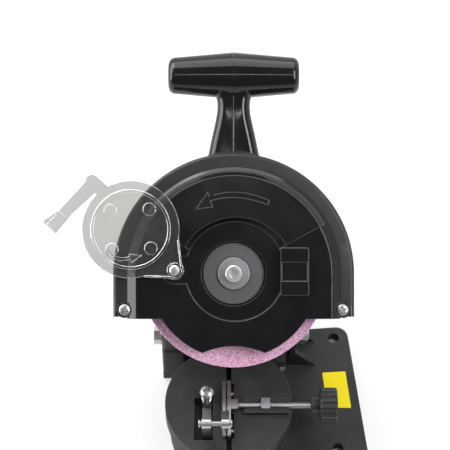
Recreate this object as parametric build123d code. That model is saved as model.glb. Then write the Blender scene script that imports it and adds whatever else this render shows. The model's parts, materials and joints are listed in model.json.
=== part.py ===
from build123d import *
import os
from math import atan2, cos, degrees, radians, sin, tan

# Bench grinder for saw chain: a motor head on a hinge above a base with a swivelling chain vise.
#
# Row frame, millimetres: +X right, +Y to the rear, +Z up. The origin lies on the bench, straight below
# the middle of the hinge axle. The head is drawn in a frame of its own: the grinding wheel's centre is
# its origin, x runs right, y runs up the guard to the handle, and z points out of the guard's face.
# at_head() sets such a piece in its place with the head raised. Angles are in degrees.

# ---------------------------------------------------------------------------------------------
# Fits
# ---------------------------------------------------------------------------------------------
GAP = 0.3                   # between faces that move past each other
RUN = 0.06                  # radial clearance of a shaft that turns in its bore
SEAT = 0.04                 # radial clearance of a part that sits in its bore
CLEAR = 0.3                 # radial clearance of a screw through a plain hole

# pan-head screws, in shares of the head's radius and height
SCREW_DOME = ((1.0, 0.45), (0.72, 0.86), (0.4, 1.0))
SCREW_CROSS = (0.62, 0.24, 0.45)   # half length, width and floor of the cross recess
OVER = 1.0                  # how far a cut runs past the face it goes through

# ---------------------------------------------------------------------------------------------
# Driving sizes
# ---------------------------------------------------------------------------------------------
# hinge and head
AXLE_Z = 38.0               # hinge axle above the bench
AXLE_R = 4.0                # M8 bolt
HEAD_ELEVATION = 57.5       # the raised wheel's axis above the horizontal
HEAD_RISE = 52.0            # wheel centre above the axle, along the guard
HEAD_REACH = 70.0           # wheel centre in front of the axle, along the wheel's axis
HEAD_TRAVEL = 25.0          # how far the head swings down to the chain

# grinding wheel and its clamp
WHEEL_R = 72.5
WHEEL_T = 3.2
WHEEL_BORE_R = 11.1
WHEEL_ARRIS = 0.5
FLANGE_R = 23.5
FLANGE_T = 4.4
FLANGE_RELIEF_R = 15.0
FLANGE_RELIEF = 0.6
FLANGE_ARRIS = 0.8
WASHER_R = 12.2
WASHER_T = 2.0
ARBOR_R = 4.0
ARBOR_HEAD_R = 6.5
ARBOR_HEAD_H = 8.0
ARBOR_LENGTH = 22.0
ARBOR_HEX = 6.0             # across flats
ARBOR_HEX_DEPTH = 4.0
ARBOR_ARRIS = 0.8

# guard housing, moulded in two halves together with the handle
GUARD_R = WHEEL_R + 19.9
GUARD_BOTTOM = -33.0
GUARD_WALL = 2.8
GUARD_BACK = -14.0          # rear face of the back wall
GUARD_FRONT = 10.0          # front face of the rim
GUARD_EDGE = 3.0            # rounding of the rim's outer edges
SHAFT_HOLE_R = 15.0
SEAM = 0.12                 # parting gap between the two halves
HANDLE_Y = GUARD_R + 60.2
HANDLE_Z = -4.0
HANDLE_LENGTH = 101.0
HANDLE_R = 18.2             # in the middle
HANDLE_END_R = 14.2
HANDLE_END_ROUND = 5.5
HANDLE_WALL = 3.0
NECK_STATIONS = (           # height above the rim's top, width, depth of each section
    (-8.4, 43.0, 23.0),
    (3.6, 37.4, 22.0),
    (19.6, 30.6, 20.4),
    (34.6, 25.4, 20.0),
    (49.6, 34.0, 25.0),
)
NECK_ROUND = 8.0
NECK_CHANNEL_R = 1.5        # channel down the middle, over the parting line
NECK_SLOT = (2.0, 2.2)      # width and depth of the short slot under the handle
NECK_SLOT_FOOT = GUARD_R + 26.1
NECK_SCREW_Y = (GUARD_R + 10.6, GUARD_R + 29.6)
NECK_SCREW_R = 2.0
NECK_SCREW_HEAD_H = 2.2
NECK_SCREW_HEAD_R = 3.8
NECK_SCREW_LENGTH = 18.0

# front cover
COVER_R = GUARD_R - 10.9
COVER_BOTTOM = -34.5
COVER_FACE_R = COVER_R - 6.7
COVER_FACE = 15.0           # height of the flat face
COVER_SHOULDER = 10.0       # where the sloped border starts
COVER_SKIRT = 4.0           # where the skirt ends inside the rim
COVER_WALL = 2.5
PLATEAU_RISE = 1.2          # raised panel over the upper part of the wheel
PLATEAU_ANGLE = 28.7        # where the panel ends, above the horizontal on either side
PLATEAU_TOP_R = COVER_R - 6.5
PLATEAU_FOOT_R = COVER_R - 3.5
PLATEAU_LEDGE_R = COVER_R - 2.3   # narrow ledge round the panel's foot
PLATEAU_LEDGE = 12.7
LOBE_R = WHEEL_R - 7.5      # tongue in front of the wheel, below the cover
LOBE_NOTCH_HALF = 22.3
LOBE_NOTCH_TOP = 9.7 - LOBE_R
LOBE_NOTCH_CORNER = 5.2 - LOBE_R
RECESS_R = 38.1             # round recess over the wheel's flange
RECESS_X = 1.0
RECESS_Y = 1.8
RECESS_RIM_R = 45.4         # its upper wall slopes out to this circle on the raised panel
RECESS_RIM_X = 1.8
RECESS_RIM_Y = -2.2
RECESS_FLOOR = 10.0
HUB_HOLE_R = 24.6
CATCH_X = (35.6, 57.0)
CATCH_Y = (-16.4, 19.8)
CATCH_RISE = 3.2
CATCH_WAIST_Y = (-5.6, 8.9)
CATCH_WAIST = 1.0
CATCH_WAIST_DEPTH = 0.8
CATCH_ROUND = 1.2
SLIT_X = (33.0, 34.8)
CORNER_X = COVER_R + 2.0
CORNER_Y = -27.8
CORNER_BOSS_R = 6.15
CORNER_FACE = 11.5
CORNER_SEAT = 9.2           # where the screw head sits
SCREW_HEAD_R = 5.0
SCREW_HEAD_H = 2.8
SCREW_R = 2.0               # M4
COVER_SCREW_TURN = 20.0

# clear eye shield over the hub
PIVOT_X = -45.0
PIVOT_Y = 2.8
PIVOT_BOSS_R = 5.0
PIVOT_LANE_R = 10.6         # half width of the recess that leads to the pivot
SHIELD_REACH = 45.6         # pivot to the middle of the disc
SHIELD_R = 37.0
SHIELD_T = 2.2
SHIELD_RING_R = 29.3
SHIELD_RING_W = 2.0
SHIELD_RING_H = 1.3
SHIELD_PAD_R = 4.8
SHIELD_PAD_AT = 21.0
SHIELD_PAD_H = 0.5
SHIELD_PADS = 4
SHIELD_EAR_R = 7.2
SHIELD_EAR_SPREAD = 0.72    # where the ear's sides meet the disc, as a share of its radius
SHIELD_OPEN = 137.1         # where the disc points from the pivot when the shield stands open
SHIELD_LUG_X = 92.0
SHIELD_LUG_HALF = 5.2
SHIELD_BAR_Y = (-12.0, 25.0)
SHIELD_BAR_W = 7.0
SHIELD_GRIP_W = 14.0
SHIELD_GRIP_Y = 41.0
SHIELD_RIB_W = 1.4
SHIELD_RIB_H = 2.6
SHIELD_RIB_INSET = 2.4
SHIELD_RIB_RUN = 6.0        # how far the ribs run past the ring
SHIELD_EYE_R = 5.6          # raised eye round the pivot
SHIELD_EYE_H = 0.6
SHIELD_TEETH = 5            # cross ribs on the latch bar
SHIELD_TOOTH_PITCH = 3.0
SHIELD_TOOTH_W = 1.2
SHIELD_TOOTH_H = 0.8
SHIELD_TOOTH_INSET = 0.6
PIVOT_SCREW_R = 2.4
PIVOT_HEAD_R = 4.0
PIVOT_HEAD_H = 2.0
PIVOT_SCREW_LENGTH = 9.0
PIVOT_HEAD_LIFT = 0.2       # play under the shoulder screw's head

# motor
MOTOR_R = 34.0
MOTOR_WALL = 3.0
MOTOR_FRONT_WALL = 3.6
MOTOR_FLANGE_R = MOTOR_R + 6.0
MOTOR_FLANGE_T = 4.0
MOTOR_LENGTH = 82.0         # barrel behind the guard
CAP_LENGTH = 16.0
CAP_ROUND = 5.0
CAP_INSIDE = 5.0            # from the cap's rear face to its hollow
MOTOR_SCREW_AT = MOTOR_R + 2.5
MOTOR_SCREW_ANGLES = (50.0, 130.0, 230.0, 310.0)
MOTOR_SCREW_R = 2.0
MOTOR_SCREW_HEAD_R = 3.6
MOTOR_SCREW_HEAD_H = 2.0
MOTOR_SCREW_LENGTH = 8.0
SHAFT_R = 6.0
SHAFT_TAIL_R = 4.0
SHAFT_TAIL = 34.0           # length of the thin rear end
SHAFT_END = 6.4             # from the cap's rear face to the shaft's end
SHAFT_PASS = 3.0            # radial room round the shaft where it leaves the barrel
SHAFT_SHORT = 1.0           # how far the shaft stays behind the wheel's front face
FRONT_BEARING_R = 14.0
FRONT_BEARING_T = 8.0
REAR_BEARING_R = 11.0
REAR_BEARING_T = 7.0
BEARING_WALL = 3.0
BEARING_RACE = 1.8          # width of each ring's face
BEARING_SHIELD = 0.5        # how far the shield lies below the rings
BEARING_FOOT = 1.0          # step under the rear bearing
FAN_R = MOTOR_R - MOTOR_WALL - 4.0
FAN_BLADES = 9
FAN_BLADE_H = 7.0
FAN_BLADE_T = 1.4
FAN_PLATE = 1.6
FAN_HUB = 3.0               # wall of the fan's hub
FAN_ROOM = 3.0              # between the front bearing and the fan
ARMATURE_R = 16.5
ARMATURE_AT = 44.0          # middle of the laminations behind the barrel's front
ARMATURE_SLOTS = 12
ARMATURE_SLOT = (8.0, 2.0)  # depth and width of a winding slot
ARMATURE_L = 26.0
STATOR_R = MOTOR_R - MOTOR_WALL - 0.4
STATOR_RING = 5.0
STATOR_BORE_R = ARMATURE_R + 0.7
STATOR_SHOE = 25.8          # width of a pole shoe
STATOR_L = 24.0
COIL_L = 4.0
COIL_INSET = 2.0
COMMUTATOR_R = 9.0
COMMUTATOR_L = 9.0
COMMUTATOR_BARS = 12
COMMUTATOR_CUT = (0.8, 0.6)   # depth and width of the slots between the bars
BRUSH_AT = 15.0             # brushes in front of the barrel's rear end
BRUSH_W = 6.0
BRUSH_L = 12.0
BRUSH_TUBE_R = 5.2
BRUSH_TUBE_START = 3.0      # from the brush's face to the tube's end
BRUSH_CAP_R = 6.5
BRUSH_CAP_H = 2.4
BRUSH_CAP_SLOT = (1.2, 1.0)   # width and depth
VENT_W = 3.0
VENT_L = 18.0
VENT_COUNT = 5
VENT_STEP = 11.0            # angle between slots
VENT_MARGIN = 2.0           # from the flange to the slots
CAP_VENTS = 12
CAP_VENT_MARGIN = 3.0
CAP_VENT_EDGE = 2.0
CAP_SOLID_ANGLES = (45.0, 225.0, 255.0, 285.0)   # no slot here: screws and gland
CAP_SCREW_AT = MOTOR_R - 6.5
CAP_SCREW_ANGLES = (45.0, 225.0)
CAP_SCREW_HEAD_H = 2.2
CAP_SCREW_SEAT = 4.5
CAP_TOWER_WALL = 2.6
CAP_TOWER_L = 8.0
CAP_TOWER_FLOOR = 1.0
GLAND_AT = MOTOR_R - 12.0   # below the motor's axis
GLAND_R = 6.0
GLAND_BORE_R = 3.6
GLAND_L = 13.0
GLAND_COLLAR = (1.8, 2.5)   # how far it stands out round the gland, and its length
GLAND_TAIL = 1.0            # how much thinner the rear end is
GLAND_STUB = 2.0
SWITCH_AT = 48.0            # switch behind the barrel's front
SWITCH_BOX = (28.0, 32.0)   # width, length along the motor
SWITCH_RISE = 8.0           # box above the barrel
SWITCH_BOX_ROUND = 3.0
SWITCH_FRAME = (15.0, 21.0)
SWITCH_DEPTH = SWITCH_RISE + MOTOR_WALL - 0.2
SWITCH_FLOOR = 2.0
SWITCH_LIP = 1.6
ROCKER = (11.6, 17.4)
ROCKER_TRAVEL = 16.0
ROCKER_PIVOT = 4.0          # pivot below the switch frame's seat
ROCKER_TIP = 2.0            # how far its ends stand above the lip
ROCKER_DIP = 0.8            # and its middle
ROCKER_BELLY = 3.0          # depth below the pivot
ROCKER_CHEEK = 1.0
ROCKER_INSET = 0.8          # play at each end of the rocker
TRUNNION_R = 1.5
TRUNNION_X = 6.7            # reach of the trunnions on either side

# tilt bracket under the motor
BARREL_R = 9.5
BARREL_X = (-22.0, 45.4)
BRACKET_WALL = 4.5
BRACKET_SADDLE_X = MOTOR_R
BRACKET_SADDLE_TOP = MOTOR_R * 0.45   # below the motor's axis
BRACKET_WEB_HEAD = 8.0
BRACKET_LENGTH = 42.0
BRACKET_WEB_X = 19.5
BRACKET_WEB_T = 5.0
BRACKET_SCREW_ANGLE = 50.0
BRACKET_SCREW_R = 2.5
BRACKET_SCREW_HEAD_R = 4.4
BRACKET_SCREW_HEAD_H = 2.6
BRACKET_SCREW_MARGIN = 6.0
STOP_X = 38.5               # depth stop, in the gap beside the swivel table
STOP_Y = -16.0
STOP_TIP_Z = 20.0
STOP_LENGTH = 16.0
STOP_SLOT = (0.8, 1.0)      # width and depth of the slot in its tip
STOP_NUT = (7.0, 3.2)       # width across flats and height
STOP_BOSS_R = 5.5
STOP_ARM_W = 7.0
STOP_ARM_ROOT = 8.0
STOP_PAD = ((-3.5, 0.0), (3.5, 0.0), (6.0, 8.7), (-3.5, 5.7))   # the arm's end round the screw's tip
HEEL_X = 18.0
HEEL_Y = (10.0, 17.5)
HEEL_ROOT = (-4.0, 9.0)     # where the heel leaves the barrel

# base
PLATE_T = 10.0
PLATE_SKIN = 3.5
PLATE_WALL = 3.0
PLATE_REAR = 20.0
PLATE_CORNER_X = 94.0
PLATE_CORNER_RISE = 3.5
PLATE_SPLAY = 6.6           # how the right-hand edge runs out towards the front
PLATE_FRONT = -104.0
PLATE_ROUND = 10.0
RIB_T = 2.4
RIB_PITCH = 26.0
RIBS_ACROSS = (-2, 4)       # first and last rib, counted in pitches from the origin
RIBS_ALONG = (-4, 0)
BENCH_HOLE_R = 4.5
BENCH_HOLE_PAD_R = 9.0
BENCH_HOLE_X = 83.1
BENCH_HOLE_Y = (12.7, -87.3)
BLOCK_X = (-57.2, -38.3)
BLOCK_FRONT = -19.5
BLOCK_TOP = 46.0
BLOCK_WALL = 3.6
BLOCK_POCKET_TOP = 27.0
BLOCK_ROUND = 3.0
EAR_X = (46.0, 50.4)
EAR_HALF = 13.0
EAR_TOP = 47.5
EAR_ROUND = 8.0
GUSSET_RISE = 21.0
GUSSET_RUN = 17.5
GUSSET_T = 4.0
BRIDGE_Y = 8.0
BRIDGE_TOP = 17.7
AXLE_LENGTH = 120.0
AXLE_HEX = 13.0
AXLE_HEAD_H = 5.3
AXLE_NUT_H = 8.0
AXLE_NUT_COLLAR = 2.0
AXLE_NUT_STEP = 0.6
AXLE_WASHER_R = 8.0
AXLE_WASHER_T = 1.6

# swivel table and its pedestal
TABLE_X = -3.8
TABLE_Y = -66.6
TABLE_R = 50.0
TABLE_TOP = 49.0
TABLE_SKIN = 4.0
TABLE_FOOT = 33.0
TABLE_WALL = 3.0
TABLE_RIB_ANGLES = (25.0, 70.0, 115.0, 155.0, 335.0)
TABLE_RIB_H = 5.0
PEDESTAL_R = 47.0
PEDESTAL_WALL = 3.5
PEDESTAL_SKIN = 4.0
SPIGOT_R = 12.0
SPIGOT_FOOT = 22.6
HUB_BOSS_R = 17.0
HUB_BOSS_FOOT = 22.0
HUB_RIBS = 8
ARCH_HALF = 27.0
ARCH_TOP = 24.0
ARCH_ROUND = 8.0
ARCH_DEPTH = 23.0
STUD_HEX = 13.0
STUD_HEAD_H = 5.3
STUD_FOOT = 7.0
LOCK_WASHER_R = 14.0
LOCK_WASHER_T = 2.0
LOCK_KNOB_R = 17.0
LOCK_KNOB_FOOT = 5.0
LOCK_KNOB_LOBES = 6
LOCK_LOBE_R = 7.0
LOCK_LOBE_OUT = 3.5
LOCK_KNOB_SKIN = 1.5
LOCK_INSERT_R = 6.5
LOCK_INSERT_H = 8.0

# chain vise
RAIL_T = 2.6
RAIL_FOOT = 43.0
RAIL_TOP = 55.0
RAIL_ROUND = 1.5
RAIL_Y = (-98.0, -49.5)
FIXED_RAIL_X = -8.6         # its left face
CHAIN_GAUGE = 1.2           # the slot that holds the drive links
RAIL_TRAVEL = 2.4
CHANNEL_X = (-5.9, -1.4)
CHANNEL_REAR = -33.0
CHANNEL_FRONT = -108.0
TROUGH_WALL = 2.8
GUIDE_PIN_R = 2.0
GUIDE_PIN_LENGTH = 12.0
GUIDE_PIN_Y = (-57.5, -90.0)
GUIDE_PIN_Z = 45.4
GUIDE_PIN_SKIN = 0.6        # jaw left in front of a pin
RAIL_SCREW_Y = (-55.5, -92.0)
RAIL_SCREW_R = 1.5
RAIL_SCREW_HEAD_R = 2.4
RAIL_SCREW_HEAD_H = 1.2
RAIL_SCREW_SINK = 0.1
RAIL_SCREW_LENGTH = 9.0
ROD_R = 2.5
ROD_Y = -70.6
ROD_Z = 52.0
ROD_TIP_R = 1.8
ROD_GRIP = 0.6              # share of the knob that the rod reaches into
SOCKET_L = 5.6
SOCKET_HALF = 4.2
BAR_X = (6.6, 43.6)
BAR_T = 3.8
BAR_RISE = 4.0
BAR_GAP = 6.0               # between the two bars, where the rod runs
BAR_BEVEL = 3.0
CLAMP_NUT_X = (21.5, 28.5)
CLAMP_NUT_W = 9.0
CLAMP_COLLAR_X = (60.6, 67.6)
CLAMP_COLLAR_R = 6.3
CLAMP_KNOB_L = 13.3
CLAMP_KNOB_R = 14.0
CLAMP_FLUTES = 18
CLAMP_FLUTE_R = 1.2
CLAMP_KNOB_ROUND = 1.2

# chain stop
STOP_SCREW_X = -21.0
STOP_SCREW_Y = -61.0
STOP_SCREW_TOP = 58.4
STOP_HEAD_R = 4.7
STOP_HEAD_H = 2.4
STOP_WASHER_R = 5.4
STOP_WASHER_T = 0.8
WELL_X = (-31.0, -16.0)
WELL_R = 5.6
WELL_FLOOR = 36.5
WELL_FRONT = -99.0
WELL_WALL = 2.5
WELL_END = 1.5              # from the screw to the end of the straight part
STOP_SCREW_FOOT = 0.6
STOP_SPRING_PLAY = 0.1
STRIP_T = 2.0
STRIP_W = 7.2
STRIP_END_R = 4.8
STRIP_FRONT = -96.0
PAWL_PIN_R = 1.8
PAWL_PIN_Z = 68.0
PAWL_PIN_HEAD = 1.2         # height and overhang of the pin's heads
PAWL_EYE_R = 4.2
PAWL_PIN_X = (-26.0, -2.4)
PAWL_X = (-9.4, -3.4)
PAWL_TIP_Y = -78.7
PAWL_TIP_Z = 56.2
PAWL_T = 2.4
PAWL_BACK = (-2.8, 6.9)     # shoulder, nose and belly of the pawl, seen from its tip
PAWL_NOSE = (1.2, 1.0)
PAWL_BELLY = (-5.3, 3.5)
SPRING_WIRE = 0.55
SPRING_R = 3.9
SPRING_TURNS = 6

# return spring on the axle
RETURN_WIRE = 1.0
RETURN_R = 7.4
RETURN_TURNS = 4
RETURN_X = (-35.5, -24.5)
RETURN_LEG = 18.0
HOOK_T = 3.0                # lug that the upper leg pushes on
HOOK_Z = (11.0, 17.0)       # above the axle

# ---------------------------------------------------------------------------------------------
# Frames that follow from the sizes
# ---------------------------------------------------------------------------------------------
OUT = (0.0, -cos(radians(HEAD_ELEVATION)), sin(radians(HEAD_ELEVATION)))
UP = (0.0, sin(radians(HEAD_ELEVATION)), cos(radians(HEAD_ELEVATION)))
HEAD_ORIGIN = (
    0.0,
    HEAD_RISE * UP[1] + HEAD_REACH * OUT[1],
    AXLE_Z + HEAD_RISE * UP[2] + HEAD_REACH * OUT[2],
)
HEAD = Plane(origin=HEAD_ORIGIN, x_dir=(1, 0, 0), z_dir=OUT)
LOCK_TOP = HUB_BOSS_FOOT - LOCK_WASHER_T - SEAT - GAP
MOTOR_FRONT = GUARD_BACK - SEAT
MOTOR_REAR = MOTOR_FRONT - MOTOR_LENGTH
CAP_REAR = MOTOR_REAR - CAP_LENGTH
SHIELD_Z = COVER_FACE + CATCH_RISE + GAP
ARMATURE_Z = MOTOR_FRONT - ARMATURE_AT
SWITCH_Z = MOTOR_FRONT - SWITCH_AT
SWITCH_SEAT = MOTOR_R + SWITCH_RISE
ROCKER_AXIS = SWITCH_SEAT - ROCKER_PIVOT
BRUSH_Z = MOTOR_REAR + BRUSH_AT
BRACKET_Z = -HEAD_REACH
FLANGE_BACK = -WHEEL_T / 2 - FLANGE_T
FLANGE_FACE = WHEEL_T / 2 + FLANGE_T
MOVING_RAIL_X = FIXED_RAIL_X + RAIL_T + CHAIN_GAUGE
SLOT_RIGHT = MOVING_RAIL_X + RAIL_T + RAIL_TRAVEL + GAP
ROD_TIP_X = MOVING_RAIL_X + RAIL_T + GAP
PAWL_PIN_Y = STRIP_FRONT + STRIP_T
BRACKET_SCREWS = tuple(     # place along the motor and angle round it
    (BRACKET_Z + step * (BRACKET_LENGTH / 2 - BRACKET_SCREW_MARGIN), 270.0 + turn * BRACKET_SCREW_ANGLE)
    for step in (-1, 1) for turn in (-1, 1)
)


# ---------------------------------------------------------------------------------------------
# Small makers
# ---------------------------------------------------------------------------------------------
def rod(radius, z0, z1, x=0.0, y=0.0):
    """Round bar along z."""
    return Pos(x, y, (z0 + z1) / 2) * Cylinder(radius, z1 - z0)


def tube(outer, inner, z0, z1, x=0.0, y=0.0):
    """Round tube along z."""
    return rod(outer, z0, z1, x, y) - rod(inner, z0 - OVER, z1 + OVER, x, y)


def rod_x(radius, x0, x1, y, z):
    """Round bar along x."""
    return Pos((x0 + x1) / 2, y, z) * Rot(0, 90, 0) * Cylinder(radius, x1 - x0)


def block(x0, x1, y0, y1, z0, z1):
    """Rectangular block between two corners."""
    return Pos((x0 + x1) / 2, (y0 + y1) / 2, (z0 + z1) / 2) * Box(x1 - x0, y1 - y0, z1 - z0)


def prism(face, z0, z1):
    """A flat outline carried from z0 to z1."""
    return extrude(Pos(0, 0, z0) * face, amount=z1 - z0, dir=(0, 0, 1))


def outline(points):
    """Closed flat outline through the points."""
    return make_face(Polyline(*points, close=True))


def prism_x(face, x0, x1):
    """An outline drawn in (y, z), carried from x0 to x1."""
    return extrude(Plane.YZ.offset(x0) * face, amount=x1 - x0, dir=(1, 0, 0))


def prism_y(face, y0, y1):
    """An outline drawn in (x, z), carried from y0 to y1."""
    start = Plane(origin=(0, y0, 0), x_dir=(1, 0, 0), z_dir=(0, -1, 0))
    return extrude(start * face, amount=y1 - y0, dir=(0, 1, 0))


def around(radius, angles):
    """Points at the given angles on a circle."""
    return [(radius * cos(radians(angle)), radius * sin(radians(angle))) for angle in angles]


def evenly(count, start=0.0):
    """Angles of a whole turn in equal steps."""
    return [start + k * 360 / count for k in range(count)]


def hexagon(flats):
    """Hexagon of the given width across its flats."""
    return RegularPolygon(flats / 2, 6, major_radius=False)


def pan_screw(shank, length, head, height):
    """Pan-head screw with a cross recess: the head stands on z = 0 and the shank hangs below it."""
    dome = [(head * x, height * z) for x, z in SCREW_DOME]
    cap = revolve(Plane.XZ * outline([(0, 0), (head, 0), *dome, (0, height)]), Axis.Z)
    arm, slot, floor = SCREW_CROSS[0] * head, SCREW_CROSS[1] * head, SCREW_CROSS[2] * height
    for turn in (0, 90):
        cap -= Rot(0, 0, turn) * block(-arm, arm, -slot / 2, slot / 2, floor, height + OVER)
    return cap + rod(shank, -length, 0)


def coil(radius, wire, pitch, turns):
    """Open coil spring that starts at z = 0 and climbs along z; its wire is six-sided."""
    path = Helix(pitch, pitch * turns, radius)
    section = Plane(origin=path @ 0, x_dir=(0, 0, 1), z_dir=path % 0) * RegularPolygon(wire, 6)
    return sweep(section, path=path, is_frenet=True)


def at_head(shape):
    """From the head's own frame to the row frame."""
    return HEAD.location * shape


def guard_face(radius, bottom):
    """Guard outline: a half circle on straight sides that run down to the bottom."""
    return make_face(
        Polyline((-radius, 0), (-radius, bottom), (radius, bottom), (radius, 0))
        + ThreePointArc((radius, 0), (0, radius), (-radius, 0))
    )


def wall_loft(radius0, z0, radius1, z1, bottom):
    """Sloped wall between two guard outlines."""
    return loft([Pos(0, 0, z0) * guard_face(radius0, bottom), Pos(0, 0, z1) * guard_face(radius1, bottom)])


# ---------------------------------------------------------------------------------------------
# Base
# ---------------------------------------------------------------------------------------------
def plate_plan():
    """Foot of the base: the bench plate on the right and the hinge blocks at the rear."""
    lean = (PLATE_REAR + PLATE_CORNER_RISE - PLATE_FRONT) * tan(radians(PLATE_SPLAY))
    plate = outline([
        (0, PLATE_REAR),
        (EAR_X[1], PLATE_REAR),
        (PLATE_CORNER_X, PLATE_REAR + PLATE_CORNER_RISE),
        (PLATE_CORNER_X + lean, PLATE_FRONT),
        (0, PLATE_FRONT),
    ])
    corners = plate.vertices().sort_by(Axis.X)[-2:]
    plate = fillet(corners, PLATE_ROUND)
    middle = Pos((BLOCK_X[0] + EAR_X[1]) / 2, (BLOCK_FRONT + PLATE_REAR) / 2)
    return plate + middle * Rectangle(EAR_X[1] - BLOCK_X[0], PLATE_REAR - BLOCK_FRONT)


def rib_grid(z0, z1):
    """Crossing ribs under the plate; one pair crosses below the hinge axle."""
    half = RIB_T / 2
    ribs = []
    for k in range(RIBS_ACROSS[0], RIBS_ACROSS[1] + 1):
        x = k * RIB_PITCH
        ribs.append(block(x - half, x + half, PLATE_FRONT, PLATE_REAR + PLATE_ROUND, z0, z1))
    for k in range(RIBS_ALONG[0], RIBS_ALONG[1] + 1):
        y = k * RIB_PITCH
        ribs.append(block(BLOCK_X[0], PLATE_CORNER_X + BENCH_HOLE_PAD_R * 2, y - half, y + half, z0, z1))
    return ribs


def bench_plate():
    """Plate of the base, hollow underneath between its ribs."""
    plan = plate_plan()
    under = prism(offset(plan, amount=-PLATE_WALL), -OVER, PLATE_T - PLATE_SKIN)
    for rib in rib_grid(-OVER, PLATE_T):
        under -= rib
    for y in BENCH_HOLE_Y:
        under -= rod(BENCH_HOLE_PAD_R, -OVER, PLATE_T, BENCH_HOLE_X, y)
    return prism(plan, 0, PLATE_T) - under


def pedestal():
    """Round pedestal of the table: a skirt, a hub on ribs, and the arch that lets a hand reach the knob."""
    roof = TABLE_FOOT - GAP - PEDESTAL_SKIN
    shape = tube(PEDESTAL_R, PEDESTAL_R - PEDESTAL_WALL, 0, roof + OVER)
    shape += rod(PEDESTAL_R, roof, TABLE_FOOT - GAP) + rod(HUB_BOSS_R, HUB_BOSS_FOOT, roof + OVER)
    low = HUB_BOSS_FOOT + OVER
    rib = block(HUB_BOSS_R - OVER, PEDESTAL_R - OVER, -RIB_T / 2, RIB_T / 2, low, roof + OVER)
    for turn in evenly(HUB_RIBS, 180 / HUB_RIBS):
        shape += Rot(0, 0, turn) * rib
    shape -= rod(SPIGOT_R + RUN, HUB_BOSS_FOOT - OVER, TABLE_FOOT)
    return Pos(TABLE_X, TABLE_Y, 0) * shape


def base_casting():
    """Ribbed base: bench plate, round pedestal, hinge block on the left and hinge ear on the right."""
    body = bench_plate() + rod(PEDESTAL_R, 0, PLATE_T, TABLE_X, TABLE_Y)
    body -= rod(PEDESTAL_R - PEDESTAL_WALL, -OVER, PLATE_T + OVER, TABLE_X, TABLE_Y)
    body += pedestal()
    front = TABLE_Y - PEDESTAL_R
    top = ARCH_TOP - OVER
    arch = block(TABLE_X - ARCH_HALF, TABLE_X + ARCH_HALF, front - OVER, front + ARCH_DEPTH, -OVER, top)
    arch = fillet(arch.edges().filter_by(Axis.Y).sort_by(Axis.Z)[-2:], ARCH_ROUND)
    ledge = rod(PEDESTAL_R - PEDESTAL_WALL - OVER, -OVER, ARCH_TOP, TABLE_X, TABLE_Y)
    body -= arch - ledge

    left = block(*BLOCK_X, BLOCK_FRONT, PLATE_REAR, 0, BLOCK_TOP)
    left = fillet(left.edges().filter_by(Axis.Y).sort_by(Axis.Z)[-2:], BLOCK_ROUND)
    left = fillet(left.edges().filter_by(Axis.X).sort_by(Axis.Z)[-2:].sort_by(Axis.Y)[:1], BLOCK_ROUND)
    body += left
    body -= block(BLOCK_X[0] + BLOCK_WALL, BLOCK_X[1] - BLOCK_WALL,
                  BLOCK_FRONT + BLOCK_WALL, PLATE_REAR - BLOCK_WALL, -OVER, BLOCK_POCKET_TOP)

    ear = block(*EAR_X, -EAR_HALF, EAR_HALF, 0, EAR_TOP)
    ear = fillet(ear.edges().filter_by(Axis.X).sort_by(Axis.Z)[-2:], EAR_ROUND)
    body += ear
    gusset = outline([
        (EAR_X[1] - OVER, PLATE_T - OVER),
        (EAR_X[1] - OVER, PLATE_T + GUSSET_RISE),
        (EAR_X[1], PLATE_T + GUSSET_RISE),
        (EAR_X[1] + GUSSET_RUN, PLATE_T),
        (EAR_X[1] + GUSSET_RUN, PLATE_T - OVER),
    ])
    body += prism_y(gusset, -EAR_HALF, -EAR_HALF + GUSSET_T)
    body += prism_y(gusset, EAR_HALF - GUSSET_T, EAR_HALF)

    bridge = block(BLOCK_X[1] - OVER, EAR_X[0] + OVER, BRIDGE_Y, PLATE_REAR, 0, BRIDGE_TOP)
    inside = (BLOCK_X[1], EAR_X[0] - PLATE_WALL, BRIDGE_Y + PLATE_WALL, PLATE_REAR - PLATE_WALL, -OVER)
    body -= block(*inside, PLATE_T + OVER)
    body += bridge - block(*inside, BRIDGE_TOP - PLATE_SKIN)

    body += rod(STOP_BOSS_R, 0, PLATE_T, STOP_X, STOP_Y)
    body -= rod(SCREW_R + RUN, -OVER, PLATE_T + OVER, STOP_X, STOP_Y)
    for y in BENCH_HOLE_Y:
        body -= rod(BENCH_HOLE_R, -OVER, PLATE_T + OVER, BENCH_HOLE_X, y)
    body -= rod_x(AXLE_R + SEAT, BLOCK_X[0] - OVER, EAR_X[1] + OVER, 0, AXLE_Z)
    return body


def depth_stop_screw():
    """Set screw that limits how deep the wheel goes, with a slot across its tip."""
    width, depth = STOP_SLOT
    screw = rod(SCREW_R, STOP_TIP_Z - STOP_LENGTH, STOP_TIP_Z)
    screw -= block(-SCREW_R, SCREW_R, -width / 2, width / 2, STOP_TIP_Z - depth, STOP_TIP_Z + OVER)
    return Pos(STOP_X, STOP_Y, 0) * screw


def depth_stop_nut():
    """Lock nut of the depth stop."""
    flats, height = STOP_NUT
    nut = prism(hexagon(flats), PLATE_T, PLATE_T + height)
    return Pos(STOP_X, STOP_Y, 0) * (nut - rod(SCREW_R + RUN, PLATE_T - OVER, PLATE_T + height + OVER))


def hinge_bolt():
    """Hexagon bolt that the head swings on."""
    start = BLOCK_X[0] - AXLE_WASHER_T
    head = Pos(start - AXLE_HEAD_H, 0, AXLE_Z) * Rot(0, 90, 0) * prism(hexagon(AXLE_HEX), 0, AXLE_HEAD_H)
    return head + rod_x(AXLE_R, start - OVER, start + AXLE_LENGTH, 0, AXLE_Z)


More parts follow.
